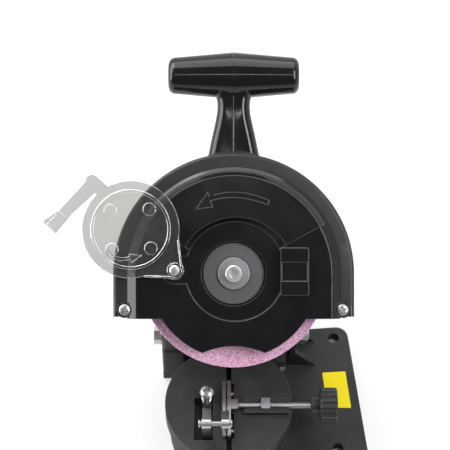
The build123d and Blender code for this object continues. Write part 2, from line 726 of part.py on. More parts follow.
def hinge_washers():
    """Washers under the bolt's head and under its nut."""
    washers = []
    for x in (BLOCK_X[0] - AXLE_WASHER_T, EAR_X[1]):
        ring = rod_x(AXLE_WASHER_R, x, x + AXLE_WASHER_T, 0, AXLE_Z)
        washers.append(ring - rod_x(AXLE_R + SEAT, x - OVER, x + AXLE_WASHER_T + OVER, 0, AXLE_Z))
    return washers


def hinge_nut():
    """Self-locking nut: a hexagon with a round collar."""
    start = EAR_X[1] + AXLE_WASHER_T
    nut = prism(hexagon(AXLE_HEX), 0, AXLE_NUT_H - AXLE_NUT_COLLAR)
    nut += rod(AXLE_HEX / 2 - AXLE_NUT_STEP, 0, AXLE_NUT_H)
    nut -= rod(AXLE_R + SEAT, -OVER, AXLE_NUT_H + OVER)
    return Pos(start, 0, AXLE_Z) * Rot(0, 90, 0) * nut


def return_spring():
    """Torsion spring round the axle; one leg stands on the base and the other lifts the head."""
    pitch = (RETURN_X[1] - RETURN_X[0]) / RETURN_TURNS
    wound = coil(RETURN_R, RETURN_WIRE, pitch, RETURN_TURNS)
    wound = Pos(RETURN_X[0], 0, AXLE_Z) * Rot(90, 0, 0) * Rot(0, 90, 0) * wound
    foot = rod(RETURN_WIRE, BRIDGE_TOP + GAP, AXLE_Z, RETURN_X[0], RETURN_R)
    lift = rod(RETURN_WIRE, AXLE_Z, AXLE_Z + RETURN_LEG, RETURN_X[1], RETURN_R)
    return wound + foot + lift


# ---------------------------------------------------------------------------------------------
# Swivel table, with the chain vise
# ---------------------------------------------------------------------------------------------
def trough_and_well():
    """Walls that hang below the table's top round the rails and round the chain stop."""
    roof = TABLE_TOP - OVER
    left, right = FIXED_RAIL_X - TROUGH_WALL, SLOT_RIGHT + TROUGH_WALL
    shape = block(left, right, CHANNEL_FRONT, CHANNEL_REAR, RAIL_FOOT - TROUGH_WALL, roof)
    left, right = WELL_X[0] - WELL_WALL, WELL_X[1] + WELL_WALL
    low = WELL_FLOOR - WELL_WALL
    shape += block(left, right, WELL_FRONT - WELL_WALL, STOP_SCREW_Y, low, roof)
    return shape + rod(WELL_R + WELL_WALL, low, roof, STOP_SCREW_X, STOP_SCREW_Y)


def table_bars():
    """The two bars beside the clamp screw, each with a bevelled inner end."""
    bars = []
    for y in (ROD_Y + BAR_GAP / 2, ROD_Y - BAR_GAP / 2 - BAR_T):
        bar = block(*BAR_X, y, y + BAR_T, TABLE_TOP - OVER, TABLE_TOP + BAR_RISE)
        corner = bar.edges().filter_by(Axis.Y).sort_by(Axis.Z)[-2:].sort_by(Axis.X)[:1]
        bars.append(chamfer(corner, BAR_BEVEL))
    return bars


def turntable():
    """Cap-shaped table: skirt, swivel spigot, rail slot, stop well and the two bars beside the rod."""
    body = rod(TABLE_R, TABLE_FOOT, TABLE_TOP, TABLE_X, TABLE_Y)
    inside = rod(TABLE_R - OVER, TABLE_FOOT, TABLE_TOP, TABLE_X, TABLE_Y)
    body -= rod(TABLE_R - TABLE_WALL, TABLE_FOOT - OVER, TABLE_TOP - TABLE_SKIN, TABLE_X, TABLE_Y)
    body += trough_and_well() & inside
    body += rod(SPIGOT_R, SPIGOT_FOOT, TABLE_TOP - OVER, TABLE_X, TABLE_Y)
    low = TABLE_TOP - TABLE_SKIN - TABLE_RIB_H
    for turn in TABLE_RIB_ANGLES:
        rib = block(SPIGOT_R - OVER, TABLE_R - OVER, -RIB_T / 2, RIB_T / 2, low, TABLE_TOP - OVER)
        body += Pos(TABLE_X, TABLE_Y, 0) * Rot(0, 0, turn) * rib
    for bar in table_bars():
        body += bar

    above = TABLE_TOP + OVER
    body -= block(FIXED_RAIL_X - SEAT, SLOT_RIGHT, RAIL_Y[0] - SEAT, RAIL_Y[1] + SEAT, RAIL_FOOT, above)
    body -= block(*CHANNEL_X, CHANNEL_FRONT, CHANNEL_REAR, RAIL_FOOT, above)
    body -= block(*WELL_X, WELL_FRONT, STOP_SCREW_Y - WELL_END, WELL_FLOOR, above)
    body -= rod(WELL_R, WELL_FLOOR, above, STOP_SCREW_X, STOP_SCREW_Y)
    body -= rod(SCREW_R + SEAT, TABLE_FOOT, WELL_FLOOR + OVER, STOP_SCREW_X, STOP_SCREW_Y)

    half = CLAMP_NUT_W / 2 + SEAT
    seat = (CLAMP_NUT_X[0] - SEAT, CLAMP_NUT_X[1] + SEAT, ROD_Y - half, ROD_Y + half, ROD_Z - half)
    body -= block(*seat, TABLE_TOP + BAR_RISE + OVER)
    for y in GUIDE_PIN_Y:
        body -= rod_x(GUIDE_PIN_R + RUN, SLOT_RIGHT - OVER, SLOT_RIGHT + GUIDE_PIN_LENGTH, y, GUIDE_PIN_Z)
    end = FIXED_RAIL_X - RAIL_SCREW_LENGTH
    for y in RAIL_SCREW_Y:
        body -= rod_x(RAIL_SCREW_R + SEAT, end, FIXED_RAIL_X + OVER, y, GUIDE_PIN_Z)

    pocket = prism(hexagon(STUD_HEX + 2 * SEAT), RAIL_FOOT - STUD_HEAD_H, RAIL_FOOT + OVER)
    body -= Pos(TABLE_X, TABLE_Y, 0) * pocket
    body -= rod(AXLE_R + SEAT, SPIGOT_FOOT - OVER, RAIL_FOOT, TABLE_X, TABLE_Y)
    return body


def table_stud():
    """Hexagon bolt through the table's spigot, for the lock knob."""
    stud = prism(hexagon(STUD_HEX), RAIL_FOOT - STUD_HEAD_H, RAIL_FOOT)
    stud += rod(AXLE_R, STUD_FOOT, RAIL_FOOT - OVER)
    return Pos(TABLE_X, TABLE_Y, 0) * stud


def lock_washer():
    """Broad washer that the lock knob pulls against the pedestal."""
    top = HUB_BOSS_FOOT - SEAT
    return tube(LOCK_WASHER_R, AXLE_R + SEAT, top - LOCK_WASHER_T, top, TABLE_X, TABLE_Y)


def lock_knob():
    """Lobed knob under the table."""
    face = Circle(LOCK_KNOB_R)
    for x, y in around(LOCK_KNOB_R + LOCK_LOBE_OUT, evenly(LOCK_KNOB_LOBES)):
        face -= Pos(x, y) * Circle(LOCK_LOBE_R)
    knob = prism(face, LOCK_KNOB_FOOT, LOCK_TOP)
    knob -= rod(LOCK_INSERT_R + SEAT, LOCK_TOP - LOCK_INSERT_H, LOCK_TOP + OVER)
    knob -= rod(AXLE_R + CLEAR, LOCK_KNOB_FOOT + LOCK_KNOB_SKIN, LOCK_TOP)
    return Pos(TABLE_X, TABLE_Y, 0) * knob


def lock_insert():
    """Threaded insert of the lock knob."""
    return tube(LOCK_INSERT_R, AXLE_R + RUN, LOCK_TOP - LOCK_INSERT_H, LOCK_TOP, TABLE_X, TABLE_Y)


def rail(x0):
    """One vise jaw: a steel strip on edge with its top corners rounded."""
    strip = block(x0, x0 + RAIL_T, *RAIL_Y, RAIL_FOOT, RAIL_TOP)
    return fillet(strip.edges().filter_by(Axis.X).sort_by(Axis.Z)[-2:], RAIL_ROUND)


def fixed_rail():
    """Left jaw, with countersunk holes for its screws."""
    jaw = rail(FIXED_RAIL_X)
    face = FIXED_RAIL_X + RAIL_T
    for y in RAIL_SCREW_Y:
        jaw -= rod_x(RAIL_SCREW_R + SEAT, FIXED_RAIL_X - OVER, face + OVER, y, GUIDE_PIN_Z)
        jaw -= rod_x(RAIL_SCREW_HEAD_R + SEAT, face - RAIL_SCREW_HEAD_H, face + OVER, y, GUIDE_PIN_Z)
    return jaw


def rail_screws():
    """Screws that hold the fixed jaw to the table."""
    face = FIXED_RAIL_X + RAIL_T
    screws = []
    for y in RAIL_SCREW_Y:
        screw = rod_x(RAIL_SCREW_R, face - RAIL_SCREW_LENGTH, face - OVER, y, GUIDE_PIN_Z)
        screw += rod_x(RAIL_SCREW_HEAD_R, face - RAIL_SCREW_HEAD_H, face - RAIL_SCREW_SINK, y, GUIDE_PIN_Z)
        screws.append(screw)
    return screws


def moving_rail():
    """Right jaw, with the socket that the clamp screw turns in."""
    jaw = rail(MOVING_RAIL_X)
    back = MOVING_RAIL_X + RAIL_T
    end = back + SOCKET_L
    jaw += block(back - OVER, end, ROD_Y - SOCKET_HALF, ROD_Y + SOCKET_HALF, TABLE_TOP + GAP, RAIL_TOP)
    jaw -= rod_x(ROD_TIP_R + RUN, ROD_TIP_X - GAP, end + OVER, ROD_Y, ROD_Z)
    for y in GUIDE_PIN_Y:
        jaw -= rod_x(GUIDE_PIN_R + SEAT, MOVING_RAIL_X + GUIDE_PIN_SKIN, back + OVER, y, GUIDE_PIN_Z)
    return jaw


def rail_guide_pins():
    """Pins that keep the moving jaw square; they slide in the table."""
    start = MOVING_RAIL_X + GUIDE_PIN_SKIN
    end = MOVING_RAIL_X + RAIL_T + GUIDE_PIN_LENGTH
    return [rod_x(GUIDE_PIN_R, start, end, y, GUIDE_PIN_Z) for y in GUIDE_PIN_Y]


def clamp_nut():
    """Square nut held in the table, between the two bars."""
    half = CLAMP_NUT_W / 2
    nut = block(*CLAMP_NUT_X, ROD_Y - half, ROD_Y + half, ROD_Z - half, ROD_Z + half)
    return nut - rod_x(ROD_R + RUN, CLAMP_NUT_X[0] - OVER, CLAMP_NUT_X[1] + OVER, ROD_Y, ROD_Z)


def clamp_screw():
    """Long screw of the vise; its thin tip turns in the moving jaw."""
    neck = MOVING_RAIL_X + RAIL_T + SOCKET_L + GAP
    screw = rod_x(ROD_R, neck, CLAMP_COLLAR_X[1] + CLAMP_KNOB_L * ROD_GRIP, ROD_Y, ROD_Z)
    return screw + rod_x(ROD_TIP_R, ROD_TIP_X, neck + OVER, ROD_Y, ROD_Z)


def clamp_knob():
    """Two-step knob: a plain collar and a fluted grip."""
    start, step = CLAMP_COLLAR_X
    grip = rod(CLAMP_KNOB_R, 0, CLAMP_KNOB_L)
    grip = chamfer(grip.edges().filter_by(GeomType.CIRCLE), CLAMP_KNOB_ROUND)
    for x, y in around(CLAMP_KNOB_R, evenly(CLAMP_FLUTES)):
        grip -= rod(CLAMP_FLUTE_R, -OVER, CLAMP_KNOB_L + OVER, x, y)
    knob = grip + rod(CLAMP_COLLAR_R, start - step, OVER)
    knob -= rod(ROD_R + SEAT, start - step - OVER, CLAMP_KNOB_L * ROD_GRIP + SEAT)
    return Pos(step, ROD_Y, ROD_Z) * Rot(0, 90, 0) * knob


# ---------------------------------------------------------------------------------------------
# Chain stop
# ---------------------------------------------------------------------------------------------
def stop_screw():
    """Screw that the stop arm swings on, held down by the spring."""
    seat = STOP_SCREW_TOP - STOP_HEAD_H
    screw = pan_screw(SCREW_R, seat - TABLE_FOOT - STOP_SCREW_FOOT, STOP_HEAD_R, STOP_HEAD_H)
    return Pos(STOP_SCREW_X, STOP_SCREW_Y, seat) * screw


def stop_washer():
    """Bright washer under the screw's head."""
    seat = STOP_SCREW_TOP - STOP_HEAD_H
    return tube(STOP_WASHER_R, SCREW_R + SEAT, seat - STOP_WASHER_T, seat, STOP_SCREW_X, STOP_SCREW_Y)


def stop_spring():
    """Compression spring between the washer and the stop arm."""
    low = WELL_FLOOR + GAP + STRIP_T + SPRING_WIRE + GAP
    high = STOP_SCREW_TOP - STOP_HEAD_H - STOP_WASHER_T - SPRING_WIRE - STOP_SPRING_PLAY
    wound = coil(SPRING_R, SPRING_WIRE, (high - low) / SPRING_TURNS, SPRING_TURNS)
    return Pos(STOP_SCREW_X, STOP_SCREW_Y, low) * wound


def stop_arm():
    """Folded strip: it lies in the well, stands up at the front and ends in the pawl's eye."""
    floor = WELL_FLOOR + GAP
    top = floor + STRIP_T
    left = STOP_SCREW_X - STRIP_W / 2
    right = STOP_SCREW_X + STRIP_W / 2
    strip = block(left, right, STRIP_FRONT, STOP_SCREW_Y, floor, top)
    strip += rod(STRIP_END_R, floor, top, STOP_SCREW_X, STOP_SCREW_Y)
    strip -= rod(SCREW_R + RUN, floor - OVER, top + OVER, STOP_SCREW_X, STOP_SCREW_Y)
    strip += block(left, right, STRIP_FRONT, PAWL_PIN_Y, floor, PAWL_PIN_Z)
    strip += rod_x(PAWL_EYE_R, left, right, PAWL_PIN_Y, PAWL_PIN_Z)
    return strip - rod_x(PAWL_PIN_R + SEAT, left - OVER, right + OVER, PAWL_PIN_Y, PAWL_PIN_Z)


def pawl_pin():
    """Pin of the pawl, with a head on each end."""
    left, right = PAWL_PIN_X
    head = PAWL_PIN_R + PAWL_PIN_HEAD
    pin = rod_x(PAWL_PIN_R, left, right, PAWL_PIN_Y, PAWL_PIN_Z)
    pin += rod_x(head, left - PAWL_PIN_HEAD, left, PAWL_PIN_Y, PAWL_PIN_Z)
    return pin + rod_x(head, right, right + PAWL_PIN_HEAD, PAWL_PIN_Y, PAWL_PIN_Z)


def stop_pawl():
    """Pawl that a cutter is pulled back against; it lifts to let the next cutter pass."""
    tip = [(PAWL_TIP_Y + y, PAWL_TIP_Z + z) for y, z in (PAWL_BACK, PAWL_NOSE, (0, 0), PAWL_BELLY)]
    lever = outline([(PAWL_PIN_Y, PAWL_PIN_Z + PAWL_T), *tip, (PAWL_PIN_Y, PAWL_PIN_Z - PAWL_T)])
    pawl = prism_x(lever, *PAWL_X) + rod_x(PAWL_EYE_R, *PAWL_X, PAWL_PIN_Y, PAWL_PIN_Z)
    return pawl - rod_x(PAWL_PIN_R + RUN, PAWL_X[0] - OVER, PAWL_X[1] + OVER, PAWL_PIN_Y, PAWL_PIN_Z)


# ---------------------------------------------------------------------------------------------
# Guard housing and handle
# ---------------------------------------------------------------------------------------------
def handle_grip(shrink=0.0):
    """Bar of the handle: two tapers that meet in the middle, with rounded ends."""
    half = HANDLE_LENGTH / 2 - shrink
    mid = HANDLE_R - shrink
    end = HANDLE_END_R - shrink
    knee = HANDLE_END_ROUND
    bend = knee * (1 - cos(radians(45)))
    profile = make_face(
        Polyline((-half + knee, end), (0, mid), (half - knee, end))
        + ThreePointArc((half - knee, end), (half - bend, end - bend), (half, end - knee))
        + Polyline((half, end - knee), (half, 0), (-half, 0), (-half, end - knee))
        + ThreePointArc((-half, end - knee), (-half + bend, end - bend), (-half + knee, end))
    )
    return Pos(0, HANDLE_Y, HANDLE_Z) * revolve(profile, Axis.X)


def neck(shrink=0.0):
    """Neck between the rim and the handle, waisted like a bottle."""
    sections = []
    for rise, width, depth in NECK_STATIONS:
        plane = Plane(origin=(0, GUARD_R + rise, HANDLE_Z), x_dir=(1, 0, 0), z_dir=(0, 1, 0))
        sections.append(plane * RectangleRounded(width - 2 * shrink, depth - 2 * shrink, NECK_ROUND - shrink))
    return loft(sections)


def neck_cut(section):
    """A cut of the given section down the middle of the neck's front and rear faces."""
    cuts = []
    for side in (-1, 1):
        sections = []
        for rise, width, depth in NECK_STATIONS:
            centre = (0, GUARD_R + rise, HANDLE_Z + side * depth / 2)
            sections.append(Plane(origin=centre, x_dir=(1, 0, 0), z_dir=(0, 1, 0)) * section)
        cuts.append(loft(sections))
    return cuts[0] + cuts[1]


def channelled_neck():
    """The neck with a rounded channel along its parting line and a deeper slot at the channel's top."""
    width, depth = NECK_SLOT
    slot = neck_cut(Rectangle(width, depth * 2))
    slot &= block(-GUARD_R, GUARD_R, NECK_SLOT_FOOT, HANDLE_Y, -GUARD_R, GUARD_R)
    return neck() - neck_cut(Circle(NECK_CHANNEL_R)) - slot


def guard_body():
    """Guard rim, back wall, neck and handle as one shape, before it is parted down the middle."""
    shell = prism(guard_face(GUARD_R, GUARD_BOTTOM), GUARD_BACK, GUARD_FRONT)
    rims = shell.edges().filter_by(Plane.XY).filter_by(lambda e: abs(e.center().Y - GUARD_BOTTOM) > OVER)
    shell = fillet(rims, GUARD_EDGE)
    shell += channelled_neck() + handle_grip()
    inner = guard_face(GUARD_R - GUARD_WALL, GUARD_BOTTOM - OVER)
    shell -= prism(inner, GUARD_BACK + GUARD_WALL, GUARD_FRONT - GUARD_WALL)
    shell -= prism(guard_face(COVER_R + GAP, GUARD_BOTTOM - OVER), 0, GUARD_FRONT + OVER)
    shell -= handle_grip(HANDLE_WALL) + neck(HANDLE_WALL) - rod(GUARD_R + OVER, GUARD_BACK, GUARD_FRONT)
    for side in (-1, 1):
        x = side * CORNER_X
        shell += rod(CORNER_BOSS_R - GAP, GUARD_BACK + OVER, COVER_SKIRT - SEAT, x, CORNER_Y)
        shell -= rod(CORNER_BOSS_R + GAP, COVER_SKIRT, GUARD_FRONT + OVER, x, CORNER_Y)
        shell -= rod(SCREW_R + SEAT, GUARD_BACK + GUARD_WALL, COVER_SKIRT + OVER, x, CORNER_Y)
    shell -= rod(SHAFT_HOLE_R, GUARD_BACK - OVER, 0)
    for x, y in around(MOTOR_SCREW_AT, MOTOR_SCREW_ANGLES):
        shell -= rod(MOTOR_SCREW_R + CLEAR, GUARD_BACK - OVER, 0, x, y)
    half = NECK_SCREW_LENGTH / 2
    for y in NECK_SCREW_Y:
        shell += rod_x(NECK_SCREW_HEAD_R + OVER, -GUARD_R, GUARD_R, y, HANDLE_Z) & channelled_neck()
        shell -= rod_x(NECK_SCREW_R + SEAT, -half - OVER, half, y, HANDLE_Z)
        shell -= rod_x(NECK_SCREW_HEAD_R + CLEAR, half, GUARD_R, y, HANDLE_Z)
    return shell


def housing_half(body, side):
    """Left (-1) or right (+1) half of the guard, parted at the middle plane."""
    reach = GUARD_R * 2 + HANDLE_Y
    x0, x1 = (-reach, -SEAM / 2) if side < 0 else (SEAM / 2, reach)
    half = body & block(x0, x1, -reach, reach, -reach, reach)
    return at_head(half)


def neck_screws():
    """Screws that clamp the two halves together through the neck."""
    screws = []
    for y in NECK_SCREW_Y:
        screw = pan_screw(NECK_SCREW_R, NECK_SCREW_LENGTH - OVER, NECK_SCREW_HEAD_R, NECK_SCREW_HEAD_H)
        screws.append(at_head(Pos(NECK_SCREW_LENGTH / 2, y, HANDLE_Z) * Rot(0, 90, 0) * screw))
    return screws


# ---------------------------------------------------------------------------------------------
# Front cover
# ---------------------------------------------------------------------------------------------
def lobe_face():
    """Tongue below the cover: a round edge with a shallow arched notch in the middle."""
    sag = LOBE_NOTCH_TOP - LOBE_NOTCH_CORNER
    notch_r = (LOBE_NOTCH_HALF ** 2 + sag ** 2) / (2 * sag)
    tongue = Circle(LOBE_R) & (Pos(0, COVER_BOTTOM - LOBE_R / 2 + OVER) * Rectangle(LOBE_R * 2, LOBE_R))
    return tongue - Pos(0, LOBE_NOTCH_TOP - notch_r) * Circle(notch_r)


def upper_sector():
    """Wedge over the upper part of the cover, between the two ends of the raised panel."""
    far = COVER_R * 2
    x = far * cos(radians(PLATEAU_ANGLE))
    y = far * sin(radians(PLATEAU_ANGLE))
    return prism(outline([(0, 0), (x, y), (x, far), (-x, far), (-x, y)]), 0, SHIELD_Z)


def plateau():
    """Raised panel over the upper part of the wheel, with a sloped edge and a ledge round its foot."""
    top = COVER_FACE + PLATEAU_RISE
    panel = loft([
        Pos(0, 0, PLATEAU_LEDGE) * Circle(PLATEAU_FOOT_R),
        Pos(0, 0, top) * Circle(PLATEAU_TOP_R),
    ])
    panel += rod(PLATEAU_LEDGE_R, COVER_SHOULDER + OVER, PLATEAU_LEDGE)
    return panel & upper_sector()


def cover_recess(grow=0.0):
    """Recess over the flange: round, with a wide sloped wall above and a lane to the shield's pivot."""
    low = RECESS_FLOOR - grow
    high = COVER_FACE + PLATEAU_RISE
    dish = rod(RECESS_R + grow, low, high, RECESS_X, RECESS_Y)
    dish += upper_sector() & loft([
        Pos(RECESS_X, RECESS_Y, low) * Circle(RECESS_R + grow),
        Pos(RECESS_RIM_X, RECESS_RIM_Y, high) * Circle(RECESS_RIM_R + grow),
    ])
    lane = PIVOT_LANE_R + grow
    dish += block(PIVOT_X, 0, PIVOT_Y - lane, PIVOT_Y + lane, low, high)
    return dish + rod(lane, low, high, PIVOT_X, PIVOT_Y)


def cover_shell():
    """Shell of the cover: skirt, sloped border, raised panel, face and tongue."""
    body = prism(guard_face(COVER_R, COVER_BOTTOM), COVER_SKIRT, COVER_SHOULDER)
    body += wall_loft(COVER_R, COVER_SHOULDER, COVER_FACE_R, COVER_FACE, COVER_BOTTOM)
    body += plateau()
    deep = COVER_BOTTOM - OVER
    step = COVER_SHOULDER - OVER
    hollow = prism(guard_face(COVER_R - COVER_WALL, deep), COVER_SKIRT - OVER, step)
    hollow += wall_loft(COVER_R - COVER_WALL, step, COVER_FACE_R - COVER_WALL, COVER_FACE - COVER_WALL, deep)
    return body - hollow + prism(lobe_face(), COVER_FACE - COVER_WALL, COVER_FACE)


def shield_catch():
    """Block on the cover that the shield's latch bar snaps over, with a shallow waist."""
    top = COVER_FACE + CATCH_RISE
    catch = block(*CATCH_X, *CATCH_Y, COVER_FACE - OVER, top)
    catch = fillet(catch.edges().filter_by(Axis.Z), CATCH_ROUND)
    waist = (CATCH_X[0] + CATCH_WAIST, CATCH_X[1] - CATCH_WAIST, *CATCH_WAIST_Y)
    return catch - block(*waist, top - CATCH_WAIST_DEPTH, top + OVER)


def front_cover():
    """Moulded cover, with the hub recess, the shield's pivot boss and catch, and two screw ears."""
    body = cover_shell()
    body += cover_recess(COVER_WALL) & rod(COVER_R * 2, 0, COVER_FACE)
    body -= cover_recess() + Pos(0, 0, OVER) * cover_recess()
    body -= rod(HUB_HOLE_R, 0, COVER_FACE)
    body += rod(PIVOT_BOSS_R, RECESS_FLOOR - OVER, SHIELD_Z - GAP, PIVOT_X, PIVOT_Y)
    body -= rod(PIVOT_SCREW_R + SEAT, RECESS_FLOOR - OVER / 2, SHIELD_Z, PIVOT_X, PIVOT_Y)
    body += shield_catch()
    body -= block(*SLIT_X, CATCH_Y[0] + OVER * 2, CATCH_Y[1], RECESS_FLOOR + OVER, COVER_FACE + OVER)
    for side in (-1, 1):
        x = side * CORNER_X
        body += rod(CORNER_BOSS_R, COVER_SKIRT, CORNER_FACE, x, CORNER_Y)
        body -= rod(SCREW_HEAD_R + CLEAR, CORNER_SEAT, COVER_FACE + OVER, x, CORNER_Y)
        body -= rod(SCREW_R + CLEAR, COVER_SKIRT - OVER, CORNER_SEAT + OVER, x, CORNER_Y)
    return at_head(body)


def cover_screws():
    """Cross-head screws in the two lower corners."""
    length = CORNER_SEAT - GUARD_BACK - GUARD_WALL - OVER
    screws = []
    for side in (-1, 1):
        place = Pos(side * CORNER_X, CORNER_Y, CORNER_SEAT) * Rot(0, 0, COVER_SCREW_TURN * side)
        screws.append(at_head(place * pan_screw(SCREW_R, length, SCREW_HEAD_R, SCREW_HEAD_H)))
    return screws


# ---------------------------------------------------------------------------------------------
# Eye shield
# ---------------------------------------------------------------------------------------------
def shield_place(shape):
    """From the shield's frame (pivot at its origin, disc along +x) to its open position."""
    return at_head(Pos(PIVOT_X, PIVOT_Y, SHIELD_Z) * Rot(0, 0, SHIELD_OPEN) * shape)


def shield_outline():
    """Disc, tapered ear, lug and latch bar as one flat outline."""
    middle, spread = SHIELD_REACH / 2, SHIELD_R * SHIELD_EAR_SPREAD
    bar_y = SHIELD_BAR_Y[0] + SHIELD_LUG_HALF
    half, flare = SHIELD_BAR_W / 2, SHIELD_GRIP_W / 2
    face = Pos(SHIELD_REACH, 0) * Circle(SHIELD_R) + Circle(SHIELD_EAR_R)
    face += outline([(0, -SHIELD_EAR_R), (middle, -spread), (middle, spread), (0, SHIELD_EAR_R)])
    lug = Rectangle(SHIELD_LUG_X - SHIELD_REACH, SHIELD_LUG_HALF * 2)
    face += Pos((SHIELD_REACH + SHIELD_LUG_X) / 2, bar_y) * lug
    face += Pos(SHIELD_LUG_X, bar_y) * Circle(SHIELD_LUG_HALF)
    bar = [(-half, bar_y), (half, bar_y), (half, SHIELD_BAR_Y[1])]
    bar += [(flare, SHIELD_GRIP_Y), (-flare, SHIELD_GRIP_Y), (-half, SHIELD_BAR_Y[1])]
    return face + Pos(SHIELD_LUG_X, 0) * outline(bar)


def eye_shield():
    """Clear disc with a raised ring, pads, a tapered ear with two ribs, a lug and a latch bar with a grip."""
    low = SHIELD_T - OVER
    outer, inner = SHIELD_RING_R + SHIELD_RING_W / 2, SHIELD_RING_R - SHIELD_RING_W / 2
    body = prism(shield_outline(), 0, SHIELD_T)
    body += tube(outer, inner, low, SHIELD_T + SHIELD_RING_H, SHIELD_REACH)
    for x, y in around(SHIELD_PAD_AT, evenly(SHIELD_PADS, 180 / SHIELD_PADS)):
        body += rod(SHIELD_PAD_R, low, SHIELD_T + SHIELD_PAD_H, SHIELD_REACH + x, y)
    lean = degrees(atan2(SHIELD_R * SHIELD_EAR_SPREAD - SHIELD_EAR_R, SHIELD_REACH / 2))
    length = SHIELD_REACH - SHIELD_RING_R + SHIELD_RIB_RUN
    start = SHIELD_EAR_R - SHIELD_RIB_INSET
    rib = Rot(0, 0, lean) * block(0, length, start, start + SHIELD_RIB_W, low, SHIELD_T + SHIELD_RIB_H)
    body += rib + mirror(rib, Plane.XZ)
    body += rod(SHIELD_EYE_R, low, SHIELD_T + SHIELD_EYE_H)
    half = SHIELD_BAR_W / 2 - SHIELD_TOOTH_INSET
    for k in range(SHIELD_TEETH):
        y = SHIELD_BAR_Y[1] + (k + 0.5) * SHIELD_TOOTH_PITCH
        tooth = block(-half, half, y, y + SHIELD_TOOTH_W, low, SHIELD_T + SHIELD_TOOTH_H)
        body += Pos(SHIELD_LUG_X, 0, 0) * tooth
    body -= rod(PIVOT_SCREW_R + RUN, -OVER, SHIELD_T + SHIELD_RIB_H + OVER)
    return shield_place(body)


def shield_screw():
    """Shoulder screw that the shield swings on."""
    screw = pan_screw(PIVOT_SCREW_R, PIVOT_SCREW_LENGTH, PIVOT_HEAD_R, PIVOT_HEAD_H)
    seat = SHIELD_Z + SHIELD_T + SHIELD_EYE_H + PIVOT_HEAD_LIFT
    return at_head(Pos(PIVOT_X, PIVOT_Y, seat) * screw)


# ---------------------------------------------------------------------------------------------
# Wheel, flanges and motor rotor
# ---------------------------------------------------------------------------------------------
def grinding_wheel():
    """Ceramic-bonded wheel with broken edges."""
    half = WHEEL_T / 2
    disc = tube(WHEEL_R, WHEEL_BORE_R, -half, half)
    rim = disc.edges().filter_by(GeomType.CIRCLE).filter_by(lambda e: e.radius > WHEEL_BORE_R + OVER)
    return at_head(chamfer(rim, WHEEL_ARRIS))


def inner_flange():
    """Rear flange, with the pilot that centres the wheel."""
    flange = rod(FLANGE_R, FLANGE_BACK, -WHEEL_T / 2)
    flange -= tube(FLANGE_RELIEF_R, WHEEL_BORE_R, -WHEEL_T / 2 - FLANGE_RELIEF, OVER)
    flange += rod(WHEEL_BORE_R - SEAT, -WHEEL_T / 2 - FLANGE_RELIEF, WHEEL_T / 2 - SEAT)
    return at_head(flange - rod(SHAFT_R + SEAT, FLANGE_BACK - OVER, WHEEL_T))


def outer_flange():
    """Front flange, dished on the wheel's side."""
    flange = tube(FLANGE_R, ARBOR_R + SEAT, WHEEL_T / 2, FLANGE_FACE)
    flange = chamfer(flange.edges().filter_by(GeomType.CIRCLE).sort_by(Axis.Z)[-1:], FLANGE_ARRIS)
    return at_head(flange - rod(FLANGE_RELIEF_R, 0, WHEEL_T / 2 + FLANGE_RELIEF))


def clamp_washer():
    """Washer under the arbor screw."""
    return at_head(tube(WASHER_R, ARBOR_R + SEAT, FLANGE_FACE, FLANGE_FACE + WASHER_T))


def arbor_screw():
    """Socket-head screw that clamps the wheel."""
    seat = FLANGE_FACE + WASHER_T
    top = seat + ARBOR_HEAD_H
    head = rod(ARBOR_HEAD_R, seat, top)
    head = chamfer(head.edges().filter_by(GeomType.CIRCLE).sort_by(Axis.Z)[-1:], ARBOR_ARRIS)
    head -= prism(hexagon(ARBOR_HEX), top - ARBOR_HEX_DEPTH, top + OVER)
    return at_head(head + rod(ARBOR_R, seat - ARBOR_LENGTH, seat + OVER))


def motor_shaft():
    """Stepped shaft, tapped at the front for the arbor screw."""
    rear = CAP_REAR + SHAFT_END
    step = rear + SHAFT_TAIL
    shaft = rod(SHAFT_TAIL_R, rear, step + OVER) + rod(SHAFT_R, step, WHEEL_T / 2 - SHAFT_SHORT)
    tapped = FLANGE_FACE + WASHER_T - ARBOR_LENGTH - OVER
    return at_head(shaft - rod(ARBOR_R + SEAT, tapped, WHEEL_T))


def armature():
    """Laminated core with open winding slots."""
    face = Circle(ARMATURE_R)
    for turn in evenly(ARMATURE_SLOTS):
        face -= Rot(0, 0, turn) * Pos(ARMATURE_R, 0) * Rectangle(*ARMATURE_SLOT)
    core = prism(face, ARMATURE_Z - ARMATURE_L / 2, ARMATURE_Z + ARMATURE_L / 2)
    return at_head(core - rod(SHAFT_R + SEAT, ARMATURE_Z - ARMATURE_L, ARMATURE_Z + ARMATURE_L))


def commutator():
    """Commutator with slots between its bars."""
    depth, width = COMMUTATOR_CUT
    low, high = BRUSH_Z - COMMUTATOR_L / 2, BRUSH_Z + COMMUTATOR_L / 2
    drum = tube(COMMUTATOR_R, SHAFT_TAIL_R + SEAT, low, high)
    slot = block(COMMUTATOR_R - depth, COMMUTATOR_R + OVER, -width / 2, width / 2, low - OVER, high + OVER)
    for turn in evenly(COMMUTATOR_BARS):
        drum -= Rot(0, 0, turn) * slot
    return at_head(drum)


def fan():
    """Cooling fan: a plate with straight blades."""
    top = MOTOR_FRONT - MOTOR_FRONT_WALL - FRONT_BEARING_T - FAN_ROOM
    plate_top = top - FAN_BLADE_H
    hub = SHAFT_R + FAN_HUB
    wheel = rod(FAN_R, plate_top - FAN_PLATE, plate_top) + rod(hub, plate_top - FAN_PLATE, top)
    blade = block(hub - OVER, FAN_R - OVER, -FAN_BLADE_T / 2, FAN_BLADE_T / 2, plate_top - OVER / 2, top)
    for turn in evenly(FAN_BLADES):
        wheel += Rot(0, 0, turn) * blade
    return at_head(wheel - rod(SHAFT_R + SEAT, plate_top - FAN_PLATE - OVER, top + OVER))


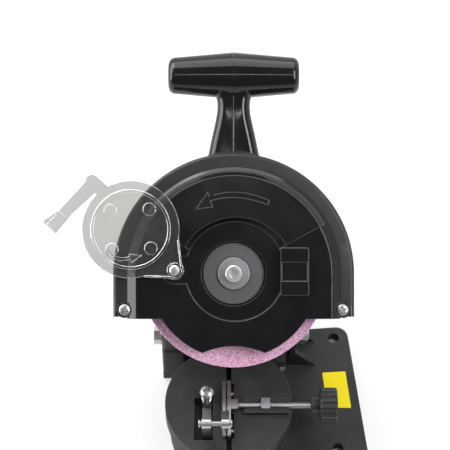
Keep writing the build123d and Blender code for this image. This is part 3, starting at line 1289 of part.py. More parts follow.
# ---------------------------------------------------------------------------------------------
# Motor, fixed parts
# ---------------------------------------------------------------------------------------------
def switch_hollow():
    """Space that the switch frame takes in the box on the barrel."""
    width, length = SWITCH_FRAME
    half, reach = width / 2 + SEAT, length / 2 + SEAT
    low = MOTOR_R - MOTOR_WALL - OVER * 2
    return block(-half, half, low, SWITCH_SEAT + OVER, SWITCH_Z - reach, SWITCH_Z + reach)


def barrel_cuts():
    """Cooling slots, brush holes and screw holes in the barrel's wall."""
    inner, outer = MOTOR_R - MOTOR_WALL - OVER, MOTOR_R + OVER
    top = MOTOR_FRONT - MOTOR_FLANGE_T - VENT_MARGIN
    slot = block(inner, outer, -VENT_W / 2, VENT_W / 2, top - VENT_L, top)
    cuts = []
    for side in (0, 180):
        cuts.append(Rot(0, 0, side) * rod_x(BRUSH_TUBE_R + SEAT, inner, outer, 0, BRUSH_Z))
        for k in range(VENT_COUNT):
            cuts.append(Rot(0, 0, side + (k - (VENT_COUNT - 1) / 2) * VENT_STEP) * slot)
    for along, angle in BRACKET_SCREWS:
        cuts.append(Rot(0, 0, angle) * rod_x(BRACKET_SCREW_R + SEAT, inner, outer, 0, along))
    return cuts


def motor_housing():
    """Motor barrel: mounting flange, bearing seat, cooling slots and the raised box for the switch."""
    body = rod(MOTOR_R, MOTOR_REAR, MOTOR_FRONT)
    body += rod(MOTOR_FLANGE_R, MOTOR_FRONT - MOTOR_FLANGE_T, MOTOR_FRONT)
    width, length = SWITCH_BOX
    box = block(-width / 2, width / 2, 0, SWITCH_SEAT, SWITCH_Z - length / 2, SWITCH_Z + length / 2)
    body += fillet(box.edges().filter_by(Axis.Z).sort_by(Axis.Y)[-2:], SWITCH_BOX_ROUND)
    seat = MOTOR_FRONT - MOTOR_FRONT_WALL
    body -= rod(MOTOR_R - MOTOR_WALL, MOTOR_REAR - OVER, seat)
    body += tube(FRONT_BEARING_R + BEARING_WALL, FRONT_BEARING_R + SEAT, seat - FRONT_BEARING_T, seat + OVER)
    body -= rod(SHAFT_R + SHAFT_PASS, seat - OVER, MOTOR_FRONT + OVER)
    body -= switch_hollow()
    for x, y in around(MOTOR_SCREW_AT, MOTOR_SCREW_ANGLES):
        body -= rod(MOTOR_SCREW_R + SEAT, MOTOR_FRONT - MOTOR_FLANGE_T - OVER, MOTOR_FRONT + OVER, x, y)
    for cut in barrel_cuts():
        body -= cut
    end = MOTOR_REAR + CAP_TOWER_L
    for x, y in around(CAP_SCREW_AT, CAP_SCREW_ANGLES):
        tower = rod(SCREW_R + CAP_TOWER_WALL, MOTOR_REAR, end, x, y)
        body += tower & rod(MOTOR_R, MOTOR_REAR, MOTOR_FRONT)
        body -= rod(SCREW_R + SEAT, MOTOR_REAR - OVER, end - CAP_TOWER_FLOOR, x, y)
    return at_head(body)


def motor_screws():
    """Screws from inside the guard into the motor's flange."""
    screw = pan_screw(MOTOR_SCREW_R, MOTOR_SCREW_LENGTH, MOTOR_SCREW_HEAD_R, MOTOR_SCREW_HEAD_H)
    places = around(MOTOR_SCREW_AT, MOTOR_SCREW_ANGLES)
    return [at_head(Pos(x, y, GUARD_BACK + GUARD_WALL) * screw) for x, y in places]


def motor_end_cap():
    """Domed rear cap with the rear bearing's seat, a ring of slots and the hole for the cord gland."""
    cap = rod(MOTOR_R, CAP_REAR, MOTOR_REAR - SEAT)
    cap = fillet(cap.edges().filter_by(GeomType.CIRCLE).sort_by(Axis.Z)[:1], CAP_ROUND)
    cap -= rod(MOTOR_R - MOTOR_WALL, CAP_REAR + CAP_INSIDE, MOTOR_REAR + OVER)
    seat = CAP_REAR + MOTOR_WALL
    hub = REAR_BEARING_R + BEARING_WALL
    cap += rod(hub, seat, seat + REAR_BEARING_T + BEARING_FOOT)
    cap -= rod(REAR_BEARING_R + SEAT, seat + BEARING_FOOT, MOTOR_REAR)
    low, through = CAP_REAR - OVER, CAP_REAR + CAP_INSIDE + OVER
    edge = MOTOR_R - CAP_ROUND - CAP_VENT_EDGE
    slot = block(hub + CAP_VENT_MARGIN, edge, -VENT_W / 2, VENT_W / 2, low, through)
    for angle in evenly(CAP_VENTS, 180 / CAP_VENTS):
        if angle not in CAP_SOLID_ANGLES:
            cap -= Rot(0, 0, angle) * slot
    cap -= rod(GLAND_R + SEAT, low, through, 0, -GLAND_AT)
    for x, y in around(CAP_SCREW_AT, CAP_SCREW_ANGLES):
        cap += rod(SCREW_R + CAP_TOWER_WALL, seat, MOTOR_REAR - SEAT, x, y)
        cap -= rod(SCREW_R + CLEAR, low, MOTOR_REAR + OVER, x, y)
        cap -= rod(MOTOR_SCREW_HEAD_R + CLEAR, low, CAP_REAR + CAP_SCREW_SEAT, x, y)
    return at_head(cap)


def cap_screws():
    """Screws of the rear cap."""
    screw = Rot(180, 0, 0) * pan_screw(SCREW_R, CAP_LENGTH, MOTOR_SCREW_HEAD_R, CAP_SCREW_HEAD_H)
    places = around(CAP_SCREW_AT, CAP_SCREW_ANGLES)
    return [at_head(Pos(x, y, CAP_REAR + CAP_SCREW_SEAT) * screw) for x, y in places]


def cord_gland():
    """Short gland where the supply cord enters; its bore is open."""
    front = CAP_REAR + CAP_INSIDE
    rear = front - GLAND_L
    spread, length = GLAND_COLLAR
    gland = rod(GLAND_R, CAP_REAR - GLAND_STUB, front) + rod(GLAND_R + spread, CAP_REAR - length, CAP_REAR)
    gland += rod(GLAND_R - GLAND_TAIL, rear, CAP_REAR)
    return at_head(Pos(0, -GLAND_AT, 0) * (gland - rod(GLAND_BORE_R, rear - OVER, front + OVER)))


def bearing(outer, bore, z0, z1):
    """Ball bearing drawn as its two rings, joined by the shields."""
    groove = tube(outer - BEARING_RACE, bore + BEARING_RACE, z1 - BEARING_SHIELD, z1 + OVER)
    return at_head(tube(outer, bore, z0, z1) - groove)


def front_bearing():
    """Bearing behind the wheel."""
    top = MOTOR_FRONT - MOTOR_FRONT_WALL - SEAT
    return bearing(FRONT_BEARING_R, SHAFT_R + SEAT, top - FRONT_BEARING_T, top)


def rear_bearing():
    """Bearing in the rear cap."""
    low = CAP_REAR + MOTOR_WALL + BEARING_FOOT + SEAT
    return bearing(REAR_BEARING_R, SHAFT_TAIL_R + SEAT, low, low + REAR_BEARING_T)


def stator():
    """Laminated stator: a ring with two pole shoes."""
    inner = STATOR_R - STATOR_RING
    shoes = (Circle(inner + OVER) - Circle(STATOR_BORE_R)) & Rectangle(STATOR_R * 2, STATOR_SHOE)
    face = Circle(STATOR_R) - Circle(inner) + shoes
    return at_head(prism(face, ARMATURE_Z - STATOR_L / 2, ARMATURE_Z + STATOR_L / 2))


def field_coils():
    """End turns of the field winding, at both ends of the stator."""
    outer, inner = STATOR_R - COIL_INSET * 2, STATOR_BORE_R + COIL_INSET
    ends = (ARMATURE_Z + STATOR_L / 2, ARMATURE_Z - STATOR_L / 2 - COIL_L)
    return [at_head(tube(outer, inner, z0, z0 + COIL_L)) for z0 in ends]


def brushes():
    """Carbon brushes, left and right of the commutator."""
    start, half = COMMUTATOR_R + GAP, BRUSH_W / 2
    brush = block(start, start + BRUSH_L, -half, half, BRUSH_Z - half, BRUSH_Z + half)
    return [at_head(Rot(0, 0, side) * brush) for side in (0, 180)]


def brush_holders():
    """Tubes that guide the brushes, closed outside by a slotted cap."""
    inner = COMMUTATOR_R + GAP + BRUSH_TUBE_START
    hollow = BRUSH_W / 2 + SEAT
    cap = MOTOR_R + SEAT
    top = cap + BRUSH_CAP_H
    half, depth = BRUSH_CAP_SLOT[0] / 2, BRUSH_CAP_SLOT[1]
    holder = rod_x(BRUSH_TUBE_R, inner, MOTOR_R + OVER, 0, BRUSH_Z)
    holder -= block(inner - OVER, MOTOR_R - OVER, -hollow, hollow, BRUSH_Z - hollow, BRUSH_Z + hollow)
    holder += rod_x(BRUSH_CAP_R, cap, top, 0, BRUSH_Z)
    holder -= block(top - depth, top + OVER, -BRUSH_CAP_R, BRUSH_CAP_R, BRUSH_Z - half, BRUSH_Z + half)
    return [at_head(Rot(0, 0, side) * holder) for side in (0, 180)]


def switch_body():
    """Rocker switch frame, let into the box on the motor, with bores for the rocker's trunnions."""
    half, reach = SWITCH_FRAME[0] / 2, SWITCH_FRAME[1] / 2
    low, rim = SWITCH_SEAT - SWITCH_DEPTH, SWITCH_SEAT + SWITCH_LIP
    body = block(-half, half, low, SWITCH_SEAT, SWITCH_Z - reach, SWITCH_Z + reach)
    half, reach = half + SWITCH_LIP, reach + SWITCH_LIP
    body += block(-half, half, SWITCH_SEAT, rim, SWITCH_Z - reach, SWITCH_Z + reach)
    half, reach = ROCKER[0] / 2 + GAP, ROCKER[1] / 2 + GAP
    body -= block(-half, half, low + SWITCH_FLOOR, rim + OVER, SWITCH_Z - reach, SWITCH_Z + reach)
    body -= rod_x(TRUNNION_R + RUN, -TRUNNION_X - GAP, TRUNNION_X + GAP, ROCKER_AXIS, SWITCH_Z)
    return at_head(body)


def switch_rocker():
    """Rocker: a bent paddle on two trunnions, tipped with its front end down."""
    half, reach = ROCKER[0] / 2, ROCKER[1] / 2 - ROCKER_INSET
    lip = SWITCH_LIP + ROCKER_PIVOT
    wedge = outline([
        (lip + ROCKER_TIP, -reach),
        (lip + ROCKER_DIP, 0),
        (lip + ROCKER_TIP, reach),
        (ROCKER_CHEEK, reach),
        (-ROCKER_BELLY, 0),
        (ROCKER_CHEEK, -reach),
    ])
    paddle = prism_x(wedge, -half, half) + rod_x(TRUNNION_R, -TRUNNION_X, TRUNNION_X, 0, 0)
    return at_head(Pos(0, ROCKER_AXIS, SWITCH_Z) * Rot(-ROCKER_TRAVEL / 2, 0, 0) * paddle)


# ---------------------------------------------------------------------------------------------
# Tilt bracket
# ---------------------------------------------------------------------------------------------
def saddle():
    """Saddle under the motor with its two webs, in the head's frame."""
    outside = MOTOR_R + SEAT + BRACKET_WALL
    z0, z1 = BRACKET_Z - BRACKET_LENGTH / 2, BRACKET_Z + BRACKET_LENGTH / 2
    below = block(-BRACKET_SADDLE_X, BRACKET_SADDLE_X, -outside - OVER, -BRACKET_SADDLE_TOP, z0, z1)
    shape = rod(outside, z0, z1) & below
    web = make_hull((
        Pos(-HEAD_RISE, -HEAD_REACH) * Circle(BARREL_R)
        + Pos(-MOTOR_R, BRACKET_Z) * Rectangle(BRACKET_WEB_HEAD, BRACKET_LENGTH)
    ).edges())
    for x in (-BRACKET_WEB_X, BRACKET_WEB_X):
        shape += prism_x(web, x - BRACKET_WEB_T / 2, x + BRACKET_WEB_T / 2)
    shape -= rod(MOTOR_R + SEAT, z0 - OVER, z1 + OVER)
    for along, angle in BRACKET_SCREWS:
        shape -= Rot(0, 0, angle) * rod_x(BRACKET_SCREW_R + CLEAR, MOTOR_R - OVER, outside + OVER, 0, along)
    return shape


def stop_arm_on_bracket():
    """Arm that comes down on the depth stop; it is drawn lowered and turned back up with the head."""
    turn = radians(-HEAD_TRAVEL)
    pad = []
    for y, z in STOP_PAD:
        dy, dz = STOP_Y + y, STOP_TIP_Z + GAP + z - AXLE_Z
        pad.append((dy * cos(turn) - dz * sin(turn), AXLE_Z + dy * sin(turn) + dz * cos(turn)))
    arm = make_hull((outline(pad) + Pos(0, AXLE_Z) * Circle(STOP_ARM_ROOT)).edges())
    return prism_x(arm, STOP_X - STOP_ARM_W / 2, STOP_X + STOP_ARM_W / 2)


def rest_heel():
    """Heel that stands on the base's bridge and holds the head up."""
    seat = BRIDGE_TOP + GAP
    below, behind = HEEL_ROOT
    heel = outline([(0, AXLE_Z + below), (HEEL_Y[0], seat), (HEEL_Y[1], seat), (behind, AXLE_Z)])
    return prism_x(heel, -HEEL_X / 2, HEEL_X / 2)


def spring_hook():
    """Lug on the left web that the return spring's upper leg lifts."""
    start = RETURN_R + RETURN_WIRE + GAP
    x0 = RETURN_X[1] - RETURN_WIRE - OVER
    return block(x0, -BRACKET_WEB_X, start, start + HOOK_T, AXLE_Z + HOOK_Z[0], AXLE_Z + HOOK_Z[1])


def tilt_bracket():
    """Cast bracket: hinge barrel, webs and saddle under the motor, depth-stop arm and rest heel."""
    body = at_head(saddle()) + rod_x(BARREL_R, *BARREL_X, 0, AXLE_Z)
    body += stop_arm_on_bracket() + rest_heel() + spring_hook()
    return body - rod_x(AXLE_R + RUN, BARREL_X[0] - OVER, BARREL_X[1] + OVER, 0, AXLE_Z)


def bracket_screws():
    """Screws through the saddle into the motor barrel."""
    outside = MOTOR_R + SEAT + BRACKET_WALL
    length = BRACKET_WALL + SEAT + MOTOR_WALL
    screw = pan_screw(BRACKET_SCREW_R, length, BRACKET_SCREW_HEAD_R, BRACKET_SCREW_HEAD_H)
    screws = []
    for along, angle in BRACKET_SCREWS:
        screws.append(at_head(Rot(0, 0, angle) * Pos(outside, 0, along) * Rot(0, 90, 0) * screw))
    return screws


# ---------------------------------------------------------------------------------------------
# All pieces, one STEP file per node
# ---------------------------------------------------------------------------------------------
GUARD = guard_body()
NODES = {
    "base_casting": base_casting(),
    "hinge_bolt": hinge_bolt(),
    "hinge_washers": hinge_washers(),
    "hinge_nut": hinge_nut(),
    "return_spring": return_spring(),
    "depth_stop_screw": depth_stop_screw(),
    "depth_stop_nut": depth_stop_nut(),
    "turntable": turntable(),
    "table_stud": table_stud(),
    "lock_washer": lock_washer(),
    "lock_knob": lock_knob(),
    "lock_insert": lock_insert(),
    "fixed_rail": fixed_rail(),
    "rail_screws": rail_screws(),
    "moving_rail": moving_rail(),
    "rail_guide_pins": rail_guide_pins(),
    "clamp_nut": clamp_nut(),
    "clamp_screw": clamp_screw(),
    "clamp_knob": clamp_knob(),
    "stop_screw": stop_screw(),
    "stop_washer": stop_washer(),
    "stop_spring": stop_spring(),
    "stop_arm": stop_arm(),
    "pawl_pin": pawl_pin(),
    "stop_pawl": stop_pawl(),
    "housing_left": housing_half(GUARD, -1),
    "housing_right": housing_half(GUARD, 1),
    "neck_screws": neck_screws(),
    "front_cover": front_cover(),
    "cover_screws": cover_screws(),
    "eye_shield": eye_shield(),
    "shield_screw": shield_screw(),
    "grinding_wheel": grinding_wheel(),
    "inner_flange": inner_flange(),
    "outer_flange": outer_flange(),
    "clamp_washer": clamp_washer(),
    "arbor_screw": arbor_screw(),
    "motor_shaft": motor_shaft(),
    "armature": armature(),
    "commutator": commutator(),
    "fan": fan(),
    "motor_housing": motor_housing(),
    "motor_screws": motor_screws(),
    "motor_end_cap": motor_end_cap(),
    "cap_screws": cap_screws(),
    "cord_gland": cord_gland(),
    "front_bearing": front_bearing(),
    "rear_bearing": rear_bearing(),
    "stator": stator(),
    "field_coils": field_coils(),
    "brushes": brushes(),
    "brush_holders": brush_holders(),
    "switch_body": switch_body(),
    "switch_rocker": switch_rocker(),
    "tilt_bracket": tilt_bracket(),
    "bracket_screws": bracket_screws(),
}

os.makedirs("parts", exist_ok=True)
for node, shape in NODES.items():
    solids = [solid for piece in (shape if isinstance(shape, list) else [shape]) for solid in piece.solids()]
    export_step(solids[0] if len(solids) == 1 else Compound(children=solids), f"parts/{node}.step")
    print(f"{node:20s} {len(solids)} solid(s)")
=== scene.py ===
import json
import logging
from dataclasses import dataclass
from enum import Enum
from math import cos, pi, radians, sin, tan
from typing import Callable

import bmesh
import bpy
import numpy as np
from mathutils import Matrix, Vector
from mathutils.bvhtree import BVHTree


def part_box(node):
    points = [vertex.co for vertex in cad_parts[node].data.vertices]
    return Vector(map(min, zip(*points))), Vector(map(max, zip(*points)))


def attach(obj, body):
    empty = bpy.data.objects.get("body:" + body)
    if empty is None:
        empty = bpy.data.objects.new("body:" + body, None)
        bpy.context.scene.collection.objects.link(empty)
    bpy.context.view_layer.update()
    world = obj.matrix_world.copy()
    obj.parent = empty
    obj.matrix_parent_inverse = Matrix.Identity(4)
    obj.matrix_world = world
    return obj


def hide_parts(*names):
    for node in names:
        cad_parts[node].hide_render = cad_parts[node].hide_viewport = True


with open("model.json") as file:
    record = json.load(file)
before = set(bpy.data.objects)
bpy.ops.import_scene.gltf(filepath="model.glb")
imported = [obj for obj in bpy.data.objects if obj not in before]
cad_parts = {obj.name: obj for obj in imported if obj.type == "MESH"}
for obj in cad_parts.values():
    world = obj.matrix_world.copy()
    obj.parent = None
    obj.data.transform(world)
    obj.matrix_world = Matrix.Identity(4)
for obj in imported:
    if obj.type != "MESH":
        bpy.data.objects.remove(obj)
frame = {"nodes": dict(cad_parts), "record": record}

# Looks of a bench grinder for saw chain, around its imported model. Lengths are metres in the row frame,
# unless a name ends in _mm. The head's own frame has the wheel's centre as its origin, x to the right, y up
# the guard and z out of the guard's face.

log = logging.getLogger("sharpener")
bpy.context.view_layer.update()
MM = 0.001
X_AXIS = Vector((1.0, 0.0, 0.0))
Z_AXIS = Vector((0.0, 0.0, 1.0))
COPY_ANGLE = 32.0  # Sharpest edge that a copy of a CAD node shades smooth, in degrees.
MADE_ANGLE = 35.0  # The same for a piece made here.
MERGE_REACH = 1e-6  # Points nearer than this are one point.
SLIVER = 1e-7  # Edges shorter than this are taken out.
DUST_COLOUR = (0.35, 0.34, 0.32)
Colour = tuple[float, float, float]
Pair = tuple[float, float]
Points = np.ndarray
Material = bpy.types.Material
Node = bpy.types.Node
NodeTree = bpy.types.NodeTree
Object = bpy.types.Object
Outputs = bpy.types.bpy_prop_collection
Socket = bpy.types.NodeSocket


# --- Node trees ---
class Graph:
    """A node tree with short ways to add nodes and wires."""

    def __init__(self, tree: NodeTree) -> None:
        """Wraps one node tree."""
        self.tree = tree

    def node(self, kind: str, inputs: dict | None = None, **settings: object) -> Node:
        """Adds a node, sets its properties and fills or wires its inputs.

        Args:
            kind: Blender's name of the node type.
            inputs: Input name or index to a plain value or to a socket.
            **settings: Properties of the node.

        Returns:
            The new node.
        """
        made = self.tree.nodes.new(kind)
        for name, value in settings.items():
            setattr(made, name, value)
        for name, value in (inputs or {}).items():
            self.feed(made.inputs[name], value)
        return made

    def feed(self, socket: Socket, value: object) -> None:
        """Wires a socket to an input, or sets the input's plain value.

        Args:
            socket: The input.
            value: A socket, a number or a tuple.
        """
        if isinstance(value, Socket):
            self.tree.links.new(value, socket)
        elif isinstance(value, tuple) and len(value) == 3 and socket.type == "RGBA":
            socket.default_value = (*value, 1.0)
        else:
            socket.default_value = value

    def maths(self, operation: str, *values: object, clamp: bool = False) -> Socket:
        """Arithmetic on numbers.

        Args:
            operation: Name of the Math node's operation.
            *values: Its operands, numbers or sockets.
            clamp: Keeps the result between 0 and 1.

        Returns:
            The result's socket.
        """
        made = self.node("ShaderNodeMath", dict(enumerate(values)), operation=operation, use_clamp=clamp)
        return made.outputs[0]

    def times(self, first: object, second: object, clamp: bool = False) -> Socket:
        """Product of two numbers."""
        return self.maths("MULTIPLY", first, second, clamp=clamp)

    def plus(self, first: object, second: object, clamp: bool = False) -> Socket:
        """Sum of two numbers."""
        return self.maths("ADD", first, second, clamp=clamp)

    def dot(self, first: object, second: object) -> Socket:
        """Scalar product of two vectors."""
        made = self.node("ShaderNodeVectorMath", {0: first, 1: second}, operation="DOT_PRODUCT")
        return made.outputs["Value"]

    def spread(self, value: object, low: float, high: float, to: Pair = (0.0, 1.0)) -> Socket:
        """Maps low..high of a value smoothly onto another range and holds it beyond both ends.

        Args:
            value: The number's socket.
            low: Value that gives the first end.
            high: Value that gives the second end.
            to: The two ends of the result.

        Returns:
            The mapped number's socket.
        """
        ends = {0: value, 1: low, 2: high, 3: to[0], 4: to[1]}
        return self.node("ShaderNodeMapRange", ends, interpolation_type="SMOOTHSTEP").outputs[0]

    def blend(self, share: object, first: object, second: object) -> Socket:
        """Mixes two colours.

        Args:
            share: How much of the second colour shows.
            first: Colour or socket at share 0.
            second: Colour or socket at share 1.

        Returns:
            The mixed colour's socket.
        """
        made = self.node("ShaderNodeMix", data_type="RGBA")
        for index, value in ((0, share), (6, first), (7, second)):
            self.feed(made.inputs[index], value)
        return made.outputs[2]

    def place(self) -> Socket:
        """Object coordinates, in metres of the row frame."""
        return self.node("ShaderNodeTexCoord").outputs["Object"]

    def normal(self) -> Socket:
        """The surface's normal."""
        return self.node("ShaderNodeNewGeometry").outputs["Normal"]

    def open_sky(self, reach: object) -> Socket:
        """Share of directions in which nothing lies within a reach in metres."""
        return self.node("ShaderNodeAmbientOcclusion", {"Distance": reach}, samples=8).outputs["AO"]

    def noise(self, place: object, scale: object, detail: float = 2.0, rough: float = 0.5) -> Socket:
        """Soft noise.

        Args:
            place: Coordinates to read.
            scale: Lumps in a metre.
            detail: Number of finer layers.
            rough: Strength of the finer layers.

        Returns:
            The noise value's socket.
        """
        inputs = {"Vector": place, "Scale": scale, "Detail": detail, "Roughness": rough}
        return self.node("ShaderNodeTexNoise", inputs).outputs[0]

    def close(self, **outputs: Socket) -> NodeTree:
        """Ends a node group.

        Args:
            **outputs: The group's outputs with what each gives.

        Returns:
            The node group.
        """
        for name, socket in outputs.items():
            kind = "NodeSocketVector" if socket.type == "VECTOR" else "NodeSocketFloat"
            self.tree.interface.new_socket(name, in_out="OUTPUT", socket_type=kind)
        self.node("NodeGroupOutput", outputs)
        return self.tree


class Effect(Enum):
    """Effects that several finishes share, by the names of their node groups."""

    EDGE = "soft_edge"
    GRAIN = "grain"
    DUST = "dust"
    AXIS = "axis_distance"
    RINGS = "turned_rings"
    SCRATCH = "fine_scratches"
    CREVICE_SHADE = "crevice_shade"


class Effects:
    """The shared node groups, each built once.

    Attributes:
        fine_grain: Lumps of the fine noise across one cell of the grain.
        cell_share: Height of the cells against that of the fine noise.
        cloud: Width of a cloud of dust, in metres.
        cloud_share: How full the clouds are against the specks.
        speck: Width of a speck of dust, in metres.
        band: Broad bands of the lathe marks in one pitch.
        scratch_turn: Direction of the scratches, as turns about the axes in radians.
        scratch_crowd: How much closer together they lie across it than along it.
    """

    fine_grain: float = 1.7
    cell_share: float = 0.7
    cloud: float = 0.03
    cloud_share: float = 0.5
    speck: float = 0.0009
    band: float = 0.12
    scratch_turn: tuple[float, float, float] = (0.3, 0.5, 0.9)
    scratch_crowd: float = 14.0

    def __init__(self, head: "Head") -> None:
        """Keeps the head's frame for the effects that need it."""
        self.head = head
        self.made: dict[Effect, NodeTree] = {}

    def group(self, effect: Effect) -> NodeTree:
        """Gives the node group of an effect, and builds it the first time.

        Args:
            effect: Which effect.

        Returns:
            The node group.
        """
        if effect not in self.made:
            builders: dict[Effect, Callable[[], NodeTree]] = {
                Effect.EDGE: self.soft_edge, Effect.GRAIN: self.grain, Effect.DUST: self.dust,
                Effect.AXIS: self.axis_distance, Effect.RINGS: self.turned_rings,
                Effect.SCRATCH: self.fine_scratches, Effect.CREVICE_SHADE: self.crevice_shade}
            self.made[effect] = builders[effect]()
        return self.made[effect]

    @staticmethod
    def start(effect: Effect, **inputs: float) -> tuple[Graph, Outputs]:
        """Starts a node group.

        Args:
            effect: Which effect the group is for.
            **inputs: The group's inputs with their plain values.

        Returns:
            The graph and the sockets of its inputs.
        """
        tree = bpy.data.node_groups.new(effect.value, "ShaderNodeTree")
        for name, value in inputs.items():
            socket = tree.interface.new_socket(name, in_out="INPUT", socket_type="NodeSocketFloat")
            socket.default_value = value
        graph = Graph(tree)
        return graph, graph.node("NodeGroupInput").outputs

    def soft_edge(self) -> NodeTree:
        """Rounded normal over sharp edges, and a mask that is 1 on them: one minus the two normals' product.

        Returns:
            The node group.
        """
        graph, given = self.start(Effect.EDGE, Radius=0.0004, Gain=6.0)
        soft = graph.node("ShaderNodeBevel", {"Radius": given["Radius"]}, samples=4).outputs[0]
        turned = graph.maths("SUBTRACT", 1.0, graph.dot(soft, graph.normal()))
        return graph.close(Normal=soft, Mask=graph.times(turned, given["Gain"], clamp=True))

    def grain(self) -> NodeTree:
        """Moulded or cast grain: cell noise under fine noise, as a height and as a speckle mask.

        Returns:
            The node group.
        """
        graph, given = self.start(Effect.GRAIN, Size=0.0005)
        scale = graph.maths("DIVIDE", 1.0, given["Size"])
        place = graph.place()
        cells = graph.node("ShaderNodeTexVoronoi", {"Vector": place, "Scale": scale}, feature="SMOOTH_F1")
        fine = graph.noise(place, graph.times(scale, self.fine_grain), detail=3.0, rough=0.6)
        height = graph.plus(graph.times(cells.outputs["Distance"], self.cell_share), fine)
        return graph.close(Height=height, Speckle=graph.spread(fine, low=0.42, high=0.68))

    def dust(self) -> NodeTree:
        """Dust that settles on faces turned up: the normal's upward part times the sum of two noises.

        Returns:
            The node group.
        """
        graph, given = self.start(Effect.DUST, Amount=0.1)
        upward = graph.node("ShaderNodeSeparateXYZ", {0: graph.normal()}).outputs[2]
        place = graph.place()
        cloud = graph.spread(graph.noise(place, 1.0 / self.cloud, detail=4.0), low=0.4, high=0.7)
        specks = graph.spread(graph.noise(place, 1.0 / self.speck, rough=0.8), low=0.62, high=0.72)
        lies = graph.plus(graph.times(cloud, self.cloud_share), specks)
        lies = graph.times(lies, graph.spread(upward, low=0.1, high=0.9))
        return graph.close(Mask=graph.times(lies, given["Amount"], clamp=True))

    def axis_distance(self) -> NodeTree:
        """Distance from the wheel's axis: the root of the two squared places across and up the guard.

        Returns:
            The node group.
        """
        graph, _ = self.start(Effect.AXIS)
        shifted = graph.node("ShaderNodeVectorMath", {0: graph.place(), 1: tuple(self.head.centre)},
                             operation="SUBTRACT").outputs[0]
        across, up = (graph.dot(shifted, tuple(axis)) for axis in (X_AXIS, self.head.up))
        squares = graph.plus(graph.maths("POWER", across, 2.0), graph.maths("POWER", up, 2.0))
        return graph.close(Radius=graph.maths("SQRT", squares))

    def turned_rings(self) -> NodeTree:
        """Lathe marks round the wheel's axis: fine and broad noise read along the radius only.

        Returns:
            The node group.
        """
        graph, given = self.start(Effect.RINGS, Pitch=0.0003)
        radius = graph.node("ShaderNodeGroup", node_tree=self.group(Effect.AXIS)).outputs["Radius"]
        line = graph.node("ShaderNodeCombineXYZ", {0: radius}).outputs[0]
        scale = graph.maths("DIVIDE", 1.0, given["Pitch"])
        bands = graph.noise(line, graph.times(scale, self.band))
        return graph.close(Height=graph.noise(line, scale), Band=bands)

    def crevice_shade(self) -> NodeTree:
        """Mask of painted shade in narrow places: full where little of the sky is open within a short reach.

        Returns:
            The node group.
        """
        graph, given = self.start(Effect.CREVICE_SHADE, Reach=0.001)
        return graph.close(Mask=graph.spread(graph.open_sky(given["Reach"]), low=0.9, high=0.35))

    def fine_scratches(self) -> NodeTree:
        """Fine scratches: noise drawn out along one direction, of which only the highest part counts.

        Returns:
            The node group.
        """
        graph, given = self.start(Effect.SCRATCH, Size=0.004)
        drawn = graph.node("ShaderNodeMapping", {"Vector": graph.place(), "Rotation": self.scratch_turn,
                                                 "Scale": (1.0, self.scratch_crowd, 1.0)}).outputs[0]
        lines = graph.noise(drawn, graph.maths("DIVIDE", 1.0, given["Size"]), detail=4.0)
        return graph.close(Mask=graph.spread(lines, low=0.55, high=0.75))


# --- Finishes ---
class Coat(Graph):
    """Graph of one material, with its shader and the shared effects."""

    def __init__(self, name: str, effects: Effects) -> None:
        """Makes the material.

        Args:
            name: The material's name.
            effects: The shared node groups.
        """
        self.made = bpy.data.materials.new(name)
        self.made.use_nodes = True
        super().__init__(self.made.node_tree)
        self.effects = effects
        self.shader = next(n for n in self.tree.nodes if n.type == "BSDF_PRINCIPLED")

    def use(self, effect: Effect, **inputs: object) -> Outputs:
        """Places an effect with some of its inputs set, and gives its outputs."""
        return self.node("ShaderNodeGroup", inputs, node_tree=self.effects.group(effect)).outputs

    def done(self, looks: dict[str, object], height: Socket, depth: object,
             normal: Socket | None = None) -> Material:
        """Fills the shader's inputs and wires a bump to its normal.

        Args:
            looks: Name of an input to a socket or a plain value.
            height: Height of the bump.
            depth: Strength of the bump, in metres.
            normal: Normal under the bump, where it isn't the surface's own.

        Returns:
            The material.
        """
        bump = self.node("ShaderNodeBump", {"Height": height, "Distance": depth})
        if normal is not None:
            self.feed(bump.inputs["Normal"], normal)
        for name, value in {**looks, "Normal": bump.outputs[0]}.items():
            self.feed(self.shader.inputs[name], value)
        return self.made


def tint(colour: Colour, gain: float, lift: float = 0.0) -> Colour:
    """A colour times a gain, plus a lift, and at most 1."""
    return tuple(min(1.0, part * gain + lift) for part in colour)


